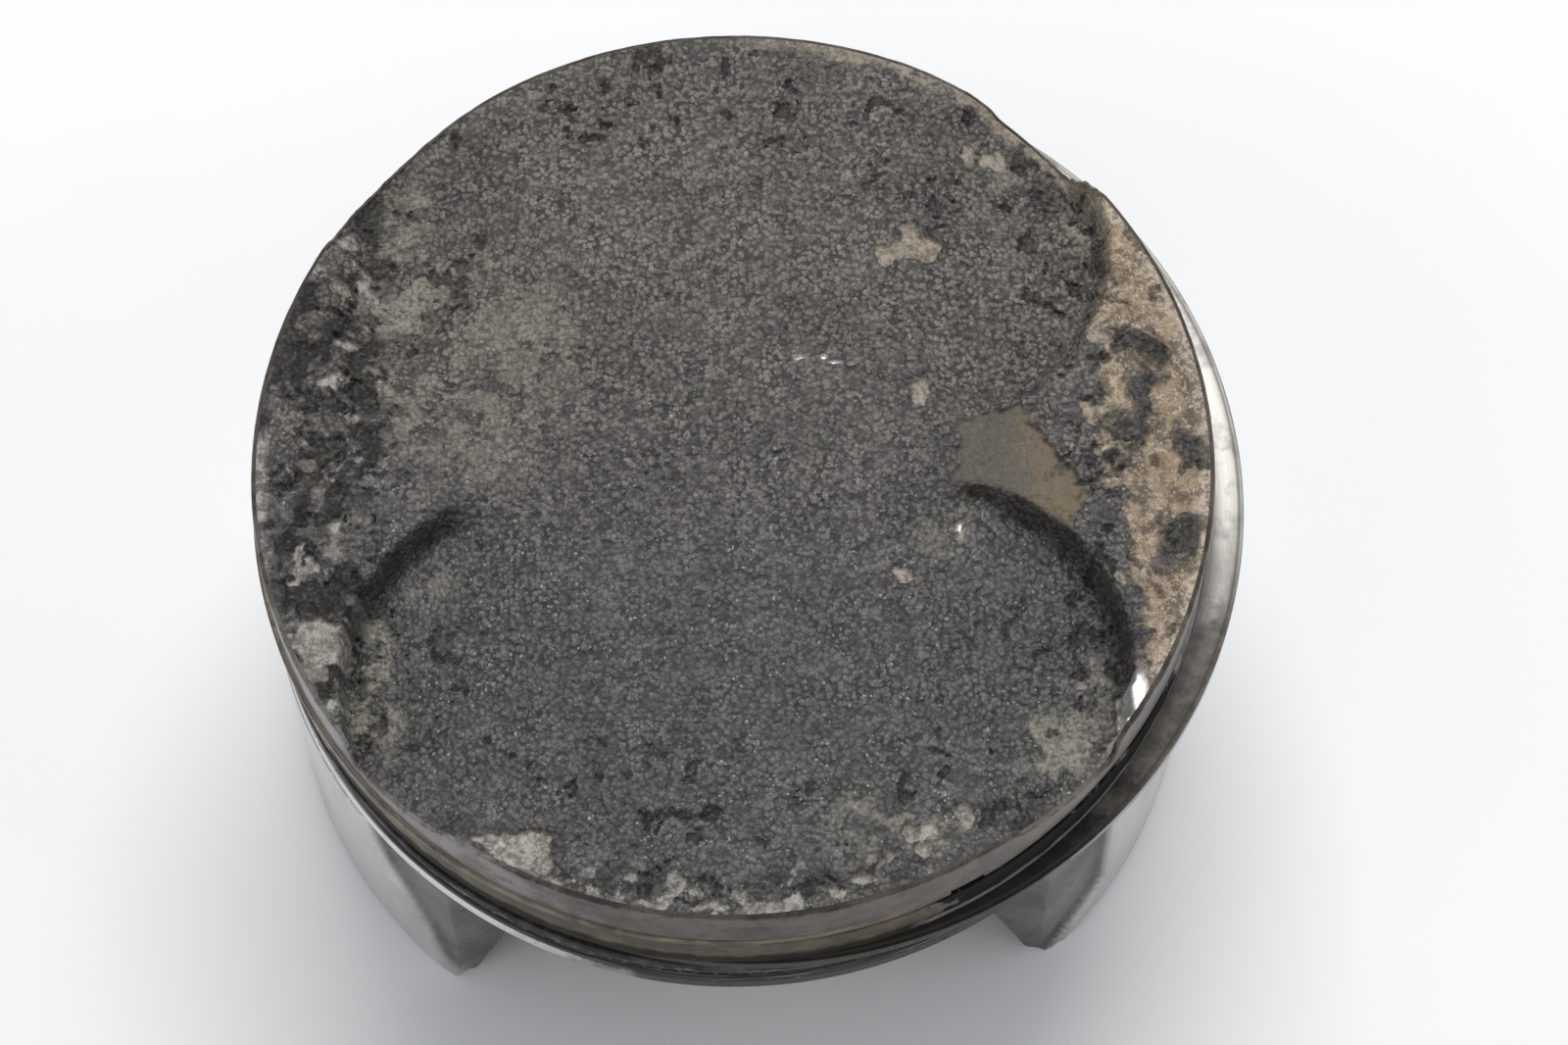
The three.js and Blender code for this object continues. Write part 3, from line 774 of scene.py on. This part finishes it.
def crust_colour(g, warped, cell, cell_tone, fine, rearward):
    """Granules of differing tone with painted shade in the crevices between them, light flecks in clusters,
    pores and ash.
    """
    broad, patchy = g.noise(0.14, 4.0, 0.6), g.noise(0.42, 4.0, 0.6)
    speck, speck_tone = g.cells(3.6, warped)
    pore, pore_tone = g.cells(0.75, warped)
    body = g.mix(rearward, CRUST_GREY, CRUST_BROWN)
    body = g.mix(g.span(cell_tone, 0.0, 1.0, 0.62, 0.0), body, CRUST_DARK)
    body = g.mix(g.span(fine, 0.44, 0.68, 0.0, 0.40), body, CRUST_PALE)
    body = g.mix(g.span(broad, 0.36, 0.62, 0.30, 0.0), body, CRUST_DARK)
    # Painted shade in the crevices between the granules.
    seam_shade = g.times(g.span(cell, 0.42, 0.66), g.span(patchy, 0.36, 0.62, 0.60, 0.95))
    body = g.mix(seam_shade, body, CRUST_SEAM_SHADE)
    body = g.mix(g.span(g.noise(0.9, 5.0, 0.7), 0.38, 0.52, 0.55, 0.0), body, CRUST_DARK)
    cluster = g.times(g.span(patchy, 0.44, 0.60, 0.25, 1.0), g.span(rearward, 0.0, 1.0, 1.0, 0.55))
    flecks = g.times(g.span(speck_tone, 0.86, 0.93), g.span(speck, 0.50, 0.30))
    body = g.mix(g.times(flecks, cluster, 0.65), body, CRUST_FLECK)
    pores = g.times(g.span(pore_tone, 0.90, 0.93), g.span(pore, 0.24, 0.15))
    body = g.mix(g.times(pores, 0.8), body, SOOT_AND_SHADE)
    return g.mix(g.times(g.field("ash"), g.span(fine, 0.38, 0.58, 0.30, 1.0)), body, ASH)


def coat_colour(g, fine, x):
    """The thin coat over metal: brown to tan to pale, speckled."""
    coat = g.mix(g.span(g.noise(0.30, 7.0, 0.8), 0.45, 0.55), BROWN_COAT, TAN_COAT)
    coat = g.mix(g.span(g.noise(2.6, 5.0, 0.8), 0.50, 0.62, 0.0, 0.85), coat, PALE_TAN)
    coat = g.mix(g.span(g.noise(3.4, 4.0, 0.75), 0.52, 0.62, 0.0, 0.75), coat, BROWN_COAT)
    inner = g.times(g.span_mm(x, 32.2, 29.8), g.span(g.noise(1.1, 5.0, 0.7), 0.48, 0.58, 0.0, 0.6))
    coat = g.mix(inner, coat, PALE_TAN)
    return g.mix(g.times(g.field("rim"), g.span(fine, 0.42, 0.58, 0.1, 0.8)), coat, PALE_TAN)


def bared_metal(g, grit, tan):
    """Mottled metal where the crust has flaked off, warmer in colour under the tan coat."""
    mottled = g.span(g.noise(1.5, 6.0, 0.8), 0.42, 0.58)
    warm = g.mix(mottled, (0.135, 0.100, 0.066), (0.36, 0.300, 0.225))
    metal = g.mix(g.times(tan, 0.85), g.mix(mottled, (0.14, 0.128, 0.11), DULL_METAL), warm)
    return g.mix(g.span(grit, 0.56, 0.68, 0.0, 0.7), metal, (0.055, 0.046, 0.038))


def scraped_colour(g, warped, grit, x):
    """The scraped wedge, grey towards the crown's middle and golden towards its rim."""
    streaks = g.noise(1.0, 5.0, 0.7, g.stretched(1.5, 0.6, 1.0, warped))
    golden = g.span_mm(g.plus(x, g.span(streaks, 0.3, 0.7, -2 * MM, 2 * MM)), 21.5, 24.5)
    scraped = g.mix(golden, SCRAPED_GREY, SCRAPED_GOLD)
    scraped = g.mix(g.span(streaks, 0.50, 0.66, 0.0, 0.6), scraped, (0.045, 0.035, 0.026))
    return g.mix(g.span(grit, 0.52, 0.66, 0.0, 0.4), scraped, (0.22, 0.18, 0.135))


def crown_material():
    g = Graph("carbon_on_aluminium")
    bare, tan, soot_and_shade, shine, scrape = map(g.field, ("bare", "tan", "soot_and_shade", "shine", "scrape"))
    x, y, _ = g.axes()
    warped = g.warped(0.22, 1.6)
    fine, grit = g.noise(2.4, 5.0, 0.65), g.noise(7.0, 3.0, 0.6)
    cell, cell_tone = g.cells(2.35, warped)
    crust = crust_colour(g, warped, cell, cell_tone, fine, g.span_mm(y, -22, 20))
    shown = g.mix(tan, crust, coat_colour(g, fine, x))
    shown = g.mix(g.times(bare, g.span(grit, 0.30, 0.46, 0.7, 1.0)), shown, bared_metal(g, grit, tan))
    shown = g.mix(scrape, shown, scraped_colour(g, warped, grit, x))
    # Soot, together with the painted shade on the pockets' walls.
    shown = g.mix(g.times(soot_and_shade, g.span(fine, 0.35, 0.65, 0.95, 0.70)), shown, SOOT_AND_SHADE)
    shown = g.mix(g.times(g.field("crack"), 0.75), shown, SOOT_AND_SHADE)
    g.shade("Base Color", g.mix(shine, shown, BRIGHT_METAL))
    g.shade("Metallic", g.span(g.most(shine, g.times(g.field("coat"), 0.12)), 0.0, 1.0, 0.0, 0.80))
    g.shade("Specular IOR Level", g.span(soot_and_shade, 0.3, 1.0, 0.5, 0.2))
    g.shade("Roughness", g.plus(g.span(shine, 0.0, 1.0, 0.62, 0.36), g.span(fine, 0.3, 0.7, -0.08, 0.12)))

    crusty = g.math("SUBTRACT", 1.0, g.most(tan, bare, scrape), clamp=True)
    granules = g.times(g.math("SUBTRACT", 0.7, cell), g.span(crusty, 0.0, 1.0, 0.15, 1.0))
    relief = g.bump(granules, 0.17, 1.0)
    g.shade("Normal", g.bump(g.plus(fine, g.times(grit, 0.5)), 0.06, 0.7, relief))
    return g.material


def top_land_colour(g, angle, lines, stain, spots):
    """Brown deposit with turned lines and dark spots, paler on the left as a painted reflection of the table.
    """
    land = g.mix(g.span(stain, 0.36, 0.60), (0.078, 0.063, 0.052), (0.150, 0.128, 0.110))
    painted_reflection = g.times(sector(g, angle, -175, -112, 14.0), g.span(stain, 0.40, 0.58, 0.15, 0.70))
    land = g.mix(painted_reflection, land, (0.30, 0.285, 0.29))
    land = g.mix(g.span(lines, 0.50, 0.66, 0.0, 0.45), land, (0.21, 0.185, 0.155))
    return g.mix(g.span(spots, 0.52, 0.66, 0.0, 0.6), land, (0.045, 0.038, 0.032))


def belt_material():
    """Turned lands: varnish, soot and worn metal by height and direction, with painted shade in the grooves,
    painted reflections of the table's shadow round the front, and a painted reflection of the table on the
    top land's left.
    """
    g = Graph("turned_lands")
    height, radius, angle = g.polar()
    ragged = g.span(g.noise(0.35, 4.0, 0.6), 0.2, 0.8, -0.10, 0.10)
    rise = g.plus(height, g.span(g.noise(0.5, 4.0, 0.65), 0.2, 0.8, -0.35 * MM, 0.35 * MM))
    lines = g.noise(1.0, 3.0, 0.5, g.stretched(0.04, 1.0, 5.0, g.unrolled(angle, height)))
    stain, spots = g.noise(0.22, 6.0, 0.7), g.noise(0.9, 5.0, 0.7)
    front = sector(g, angle, -150, -66, 3.0, ragged)

    # Where each band lies, by the groove above or below it.
    tops, feet = GROOVE_TOPS_MM, GROOVE_FEET_MM
    second = g.times(g.span_mm(rise, tops[1] - 0.4, tops[1] - 0.1),
                     g.span_mm(rise, feet[0] + 0.4, feet[0]))
    high_second = g.times(second, g.span_mm(rise, tops[1] + 0.4, tops[1] + 1.2))
    low_second = g.times(second, g.span_mm(rise, tops[1] + 2.0, tops[1] + 1.2))
    third = g.times(g.span_mm(rise, tops[2] - 0.1, tops[2] + 0.1),
                    g.span_mm(rise, feet[1] + 0.7, feet[1] + 0.3))
    last = g.span_mm(rise, feet[2] + 0.3, feet[2] + 0.1)
    floors = g.span_mm(radius, CROWN_RADIUS_MM - 0.1, CROWN_RADIUS_MM - 0.6)
    grooved = g.times(g.span_mm(height, tops[0] + 1.2, tops[0] + 0.2),
                      g.span_mm(height, BELT_FOOT_MM + 0.2, BELT_FOOT_MM + 0.8))
    foot = g.times(g.span_mm(height, BELT_FOOT_MM + 0.6, BELT_FOOT_MM + 0.2), floors)

    metal = g.mix(g.span(lines, 0.3, 0.7), (0.27, 0.262, 0.255), (0.42, 0.41, 0.40))
    worn = g.mix(g.span(spots, 0.60, 0.66), (0.86, 0.855, 0.845), (0.20, 0.18, 0.16))
    varnish = g.mix(g.span(stain, 0.36, 0.62), (0.046, 0.034, 0.021), (0.135, 0.098, 0.058))
    cast = g.mix(g.span(stain, 0.36, 0.62), (0.10, 0.088, 0.074), (0.19, 0.18, 0.168))
    # Near black: painted shade on the groove floors; soot with painted shade on the second land past the top
    # ring's gap; oil with a painted reflection of the table's shadow on the lower second land round the
    # front; a painted reflection of that shadow on the last land round the front; sooty patches on the third
    # land and a dark deposit line under the rim.
    black = g.most(
        g.times(high_second, sector(g, angle, -66, -24, 2.0, ragged)),
        g.times(low_second, front, 0.8),
        g.times(third, g.span(stain, 0.3, 0.6, 0.65, 0.95)),
        g.times(last, sector(g, angle, -112, -40, 9.0, ragged), 0.9),
        g.times(floors, grooved),
        g.times(g.span_mm(rise, RIM_MM - 0.6, RIM_MM - 0.2), g.span(stain, 0.42, 0.58, 0.55, 0.1)))
    shown = g.mix(last, metal, worn)
    top_land = top_land_colour(g, angle, lines, stain, spots)
    shown = g.mix(g.span_mm(rise, tops[0] - 0.6, tops[0]), shown, top_land)
    shown = g.mix(g.times(second, g.plus(0.35, g.times(front, 0.6))), shown, varnish)
    g.shade("Base Color", g.mix(foot, g.mix(black, shown, SOOT_AND_SHADE), cast))
    dull = g.most(black, g.times(second, 0.7), foot)
    g.shade("Metallic", g.span(dull, 0.1, 0.8, 0.85, 0.1))
    g.shade("Specular IOR Level", g.span(dull, 0.1, 0.8, 0.5, 0.06))
    g.shade("Roughness", g.plus(g.span(lines, 0.3, 0.7, 0.28, 0.40), g.times(black, 0.4)))
    g.shade("Normal", g.bump(lines, 0.02, 0.6, g.bump(spots, 0.02, 0.4)))
    return g.material


def casting_material():
    """Machined skirt outside, cast metal everywhere else."""
    g = Graph("cast_and_turned_aluminium")
    height, radius, angle = g.polar()
    turned = g.field("turned")
    untouched = g.math("SUBTRACT", 1.0, turned)
    stain = g.noise(0.12, 6.0, 0.65)
    cast_grain = g.noise(1.6, 5.0, 0.7)
    cast = g.mix(g.span(stain, 0.35, 0.65), (0.115, 0.113, 0.112), (0.20, 0.197, 0.193))
    oil = g.mix(g.span(g.noise(0.3, 5.0, 0.7), 0.35, 0.7), (0.11, 0.085, 0.055), (0.23, 0.19, 0.14))
    inside = g.span_mm(radius, 36.6, 35.2)
    cast = g.mix(g.times(inside, g.span_mm(height, -30, -10), 0.8), cast, oil)
    around = g.unrolled(angle, height)
    feed_lines = g.noise(1.0, 2.0, 0.4, g.stretched(0.03, 1.0, 3.4, around))
    scuffs = g.noise(1.0, 6.0, 0.7, g.stretched(0.8, 1.0, 0.10, around))
    metal = g.mix(g.span(scuffs, 0.36, 0.66), (0.635, 0.63, 0.62), (0.715, 0.71, 0.70))
    metal = g.mix(g.span(feed_lines, 0.35, 0.65, 0.30, 0.0), metal, (0.40, 0.395, 0.39))
    metal = g.mix(g.span(stain, 0.50, 0.66, 0.0, 0.30), metal, (0.36, 0.33, 0.29))
    g.shade("Base Color", g.mix(turned, cast, metal))
    g.shade("Metallic", g.span(turned, 0.0, 1.0, 0.35, 1.0))
    rough = g.times(g.span(cast_grain, 0.3, 0.7, 0.42, 0.60), untouched)
    g.shade("Roughness", g.plus(rough, g.times(g.span(scuffs, 0.3, 0.7, 0.30, 0.37), turned)))
    grain = g.bump(g.times(cast_grain, untouched), 0.12, 0.8)
    g.shade("Normal", g.bump(g.times(feed_lines, turned), 0.02, 0.6, grain))
    return g.material


def ring_metal(name, centre, worn, dark, rough, soot_amount, face_radius=None, face_coat=None, front=0.0):
    """Ring steel with scratches that run round it; face_coat tints the outer face, and front darkens it round
    the front with grime and painted shade.
    """
    g = Graph(name)
    height, radius, angle = g.polar(centre)
    scratch = g.noise(1.0, 5.0, 0.6, g.stretched(0.12, 9.0, 6.0, g.unrolled(angle, height, radius)))
    shown = g.mix(g.span(scratch, 0.32, 0.66), dark, worn)
    stain, spots = g.span(g.noise(0.20, 5.0, 0.7), 0.50, 0.66), g.span(g.noise(0.8, 5.0, 0.75), 0.56, 0.68)
    dirt_and_shade = g.times(g.most(stain, spots), soot_amount)
    if face_coat:
        on_face = g.span_mm(radius, face_radius - 0.25, face_radius - 0.05)
        coat = g.mix(g.span(g.noise(0.5, 5.0, 0.7), 0.3, 0.7), *face_coat)
        shown = g.mix(g.times(on_face, 0.9), shown, coat)
    if front:
        # Round the front: grime with painted shade.
        grime_and_shade = g.times(sector(g, angle, -146, -28, 9.0), front, g.span(scratch, 0.56, 0.66, 1.0, 0.5))
        dirt_and_shade = g.most(dirt_and_shade, grime_and_shade)
    shown = g.mix(dirt_and_shade, shown, SOOT_AND_SHADE)
    g.shade("Base Color", shown)
    g.shade("Metallic", g.span(dirt_and_shade, 0.1, 0.8, 0.95, 0.1))
    g.shade("Specular IOR Level", g.span(dirt_and_shade, 0.1, 0.8, 0.5, 0.1))
    g.shade("Roughness", g.plus(g.span(scratch, 0.3, 0.7, rough - 0.06, rough + 0.1), g.times(dirt_and_shade, 0.3)))
    g.shade("Normal", g.bump(scratch, 0.012, 0.8))
    return g, angle, shown


def top_ring_material():
    centre, outer, _, _ = ring_circle("top_ring")
    g, _, _ = ring_metal("varnished_ring", centre, (0.38, 0.35, 0.31), (0.20, 0.17, 0.14), 0.38, 0.55,
                         outer, ((0.10, 0.075, 0.05), (0.25, 0.195, 0.135)))
    return g.material


def second_ring_material():
    """Bright where it stands out of its groove; round the front its top turns brown and then black, and its
    outer face near black, as carbon and oil with painted shade.
    """
    centre, outer, _, high = ring_circle("second_ring")
    g, angle, shown = ring_metal("sprung_ring", centre, (0.46, 0.45, 0.43), (0.27, 0.26, 0.245), 0.42, 0.25)
    height, radius, _ = g.polar(centre)
    ragged = g.span(g.noise(0.4, 5.0, 0.7), 0.2, 0.8, -0.14, 0.14)
    on_top = g.span_mm(height, high - 0.12, high - 0.02)
    brown = g.mix(g.span(g.noise(0.5, 5.0, 0.7), 0.36, 0.62), (0.055, 0.047, 0.040), (0.16, 0.14, 0.12))
    # Carbon with painted shade on the ring's top round the front: brown, then black.
    dull_and_shaded_top = g.times(on_top, sector(g, angle, -156, -16, 13.0, ragged))
    sooty_and_shaded_top = g.times(on_top, sector(g, angle, -152, -44, 9.0, ragged))
    line = g.times(g.span_mm(radius, outer - 0.55, outer - 0.45),
                   g.span_mm(radius, outer - 0.22, outer - 0.30))
    # Near-black outer face round the front: oily steel with a painted reflection of the table's shadow.
    face = g.times(g.math("SUBTRACT", 1.0, on_top), sector(g, angle, -150, -52, 9.0, ragged))
    shown = g.mix(g.times(dull_and_shaded_top, 0.85), shown, brown)
    shown = g.mix(g.times(sooty_and_shaded_top, 0.9), shown, SOOT_AND_SHADE)
    shown = g.mix(g.times(line, on_top, 0.6), shown, (0.07, 0.06, 0.05))
    g.shade("Base Color", g.mix(g.times(face, 0.86), shown, (0.022, 0.019, 0.016)))
    black = g.most(face, dull_and_shaded_top)
    g.shade("Metallic", g.span(black, 0.0, 1.0, 0.95, 0.12))
    g.shade("Specular IOR Level", g.span(black, 0.0, 1.0, 0.5, 0.1))
    return g.material


def rail_material(node, name):
    centre, _, _, _ = ring_circle(node)
    worn, dark = (0.50, 0.49, 0.475), (0.27, 0.26, 0.25)
    # Darkened round the front with grime and painted shade.
    return ring_metal(name, centre, worn, dark, 0.30, 0.4, front=0.85)[0].material


def expander_material():
    g = Graph("formed_strip", Metallic=0.6)
    stain = g.noise(0.5, 5.0, 0.7)
    shown = g.mix(g.span(stain, 0.35, 0.65), (0.035, 0.030, 0.026), (0.13, 0.12, 0.105))
    g.shade("Base Color", g.mix(g.span(g.noise(1.3, 4.0), 0.5, 0.7, 0.0, 0.8), shown, (0.022, 0.018, 0.014)))
    g.shade("Roughness", g.span(stain, 0.3, 0.7, 0.36, 0.55))
    g.shade("Normal", g.bump(g.noise(4.0, 4.0), 0.01, 0.6))
    return g.material


def pin_material():
    g = Graph("ground_pin_steel", Metallic=1.0)
    height, radius, angle = g.polar((0.0, PIN_HEIGHT_MM), "y")
    grinding = g.noise(1.0, 4.0, 0.5, g.stretched(0.25, 1.0, 9.0, g.unrolled(angle, height, 0.0, 9.0)))
    shown = g.mix(g.span(grinding, 0.3, 0.7), (0.55, 0.54, 0.53), (0.70, 0.69, 0.68))
    end = g.span_mm(g.math("ABSOLUTE", height), 23.8, 25.0)
    shown = g.mix(g.times(end, g.span(g.noise(0.6, 5.0, 0.7), 0.4, 0.62)), shown, (0.20, 0.14, 0.08))
    bore = g.span_mm(radius, 6.6, 5.8)
    g.shade("Base Color", g.mix(g.times(bore, 0.7), shown, (0.10, 0.085, 0.07)))
    g.shade("Roughness", g.plus(g.span(grinding, 0.3, 0.7, 0.12, 0.24), g.times(bore, 0.3)))
    g.shade("Normal", g.bump(grinding, 0.006, 0.6))
    return g.material


def clip_material():
    g = Graph("spring_wire", Metallic=1.0)
    stain = g.noise(0.8, 4.0, 0.6)
    g.shade("Base Color", g.mix(g.span(stain, 0.35, 0.65), (0.11, 0.105, 0.10), (0.30, 0.29, 0.28)))
    g.shade("Roughness", g.span(stain, 0.3, 0.7, 0.25, 0.42))
    g.shade("Normal", g.bump(g.noise(5.0, 3.0), 0.008, 0.6))
    return g.material


def table_material():
    g = Graph("pale_table", Roughness=0.55)
    g.shade("Base Color", g.mix(g.noise(0.02, 3.0), (0.84, 0.85, 0.86), (0.88, 0.885, 0.89)))
    g.shade("Normal", g.bump(g.noise(0.35, 3.0), 0.05, 0.15))
    return g.material


# ---- Putting it together ----
TABLE_HALF_MM = 3000.0
ROOM_COLOUR, ROOM_STRENGTH = (0.93, 0.96, 1.0, 1.0), 0.45
# Soft lights: place, the point they face, width and height, watts, colour.
LIGHTS_MM = {
    "window_behind": ((110, 900, 1350), (0, 0, -20), (1150, 750), 20.0, (1.0, 0.985, 0.965)),
    "fill_right": ((700, -100, 420), (0, 0, -20), (500, 500), 0.7, (1.0, 1.0, 1.0)),
    "fill_left": ((-650, -420, 520), (0, 0, -30), (700, 600), 1.2, (1.0, 1.0, 1.0)),
}
CAMERA_MM, CAMERA_AIM_MM, CAMERA_ROLL_DEG = (0.0, -155.14, 354.52), (3.82, -5.50, -1.0), -0.79
LENS_MM, SENSOR_MM = 70.0, 22.3


def dress(obj, material, body, slot, *replaced):
    obj.data.materials.clear()
    obj.data.materials.append(material)
    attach(obj, body)
    if replaced:
        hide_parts(*replaced)


def add_turned_field(obj):
    """Marks the skirt's turned outside, the foot and the pin bore."""
    x, y, z = points_mm(obj).T
    bore = np.hypot(x, z - PIN_HEIGHT_MM)
    skirt = smooth(FLANK_RADIUS_MM + 0.25, FLANK_RADIUS_MM + 0.75, np.hypot(x, y))
    hole = smooth(PIN_BORE_MM + 0.4, PIN_BORE_MM + 0.1, bore) * (np.abs(y) > 13.0)
    foot = smooth(FOOT_MM + 0.2, FOOT_MM + 0.05, z)
    set_fields(obj, {"turned": np.maximum.reduce([skirt, hole, foot])})


def build_piston():
    crust = crown_material()
    for name, side_x, side_y in (("intake_rear", 1, 1), ("intake_front", 1, -1),
                                 ("exhaust_rear", -1, 1), ("exhaust_front", -1, -1)):
        dress(crown_quarter("crown_" + name, side_x, side_y), crust, "piston", "body")
    dress(ring_belt(), belt_material(), "piston", "body")
    casting = skirt_casting()
    add_turned_field(casting)
    dress(casting, casting_material(), "piston", "body", "piston_body")


def build_rings():
    dress(split_ring("top_ring", "top_ring_split"), top_ring_material(),
          "top_ring", "top_ring", "top_ring")
    dress(split_ring("second_ring", "second_ring_split"), second_ring_material(),
          "second_ring", "second_ring", "second_ring")
    for node, body in (("oil_upper_rail", "upper_rail"), ("oil_lower_rail", "lower_rail")):
        dress(split_ring(node, body + "_split"), rail_material(node, "chromed_" + body),
              body, "oil_rail", node)
    dress(oil_expander(), expander_material(), "expander", "expander", "oil_expander")


def build_pin():
    dress(wrist_pin(), pin_material(), "pin", "pin", "wrist_pin")
    wire = clip_material()
    for end in ("front", "rear"):
        dress(circlip("circlip_" + end, "wire_clip_" + end), wire, "piston", "clip", "circlip_" + end)


def build_table():
    half = TABLE_HALF_MM
    corners = [(-half, -half, FOOT_MM), (half, -half, FOOT_MM), (half, half, FOOT_MM), (-half, half, FOOT_MM)]
    floor = mesh_object("table_top", corners, [(0, 1, 2, 3)], shade_smooth=False)
    floor.data.materials.append(table_material())


def soft_light(name, place_mm, aim_mm, size_mm, watts, colour):
    data = bpy.data.lights.new(name, "AREA")
    data.shape, data.size, data.size_y = "RECTANGLE", size_mm[0] * MM, size_mm[1] * MM
    data.energy, data.color = watts, colour
    light = bpy.data.objects.new(name, data)
    light.location = Vector(place_mm) * MM
    look = (Vector(aim_mm) - Vector(place_mm)).to_track_quat("-Z", "Y")
    light.rotation_euler = look.to_euler()
    bpy.context.scene.collection.objects.link(light)


def build_light():
    world = bpy.data.worlds.new("pale_room")
    world.use_nodes = True
    background = world.node_tree.nodes["Background"]
    background.inputs["Color"].default_value = ROOM_COLOUR
    background.inputs["Strength"].default_value = ROOM_STRENGTH
    bpy.context.scene.world = world
    for name, values in LIGHTS_MM.items():
        soft_light(name, *values)


def build_view():
    """Plain colours without a film curve, so that the table comes out near white."""
    bpy.context.scene.view_settings.view_transform = "Standard"


def build_camera():
    data = bpy.data.cameras.new("camera")
    data.sensor_width, data.lens, data.clip_start = SENSOR_MM, LENS_MM, 10 * MM
    camera = bpy.data.objects.new("camera", data)
    place, aim = Vector(CAMERA_MM), Vector(CAMERA_AIM_MM)
    turn = (aim - place).to_track_quat("-Z", "Y").to_matrix().to_4x4()
    roll = Matrix.Rotation(math.radians(CAMERA_ROLL_DEG), 4, "Z")
    camera.matrix_world = Matrix.Translation(place * MM) @ turn @ roll
    bpy.context.scene.collection.objects.link(camera)
    bpy.context.scene.camera = camera


build_piston()
build_rings()
build_pin()
build_table()
build_light()
build_camera()
build_view()
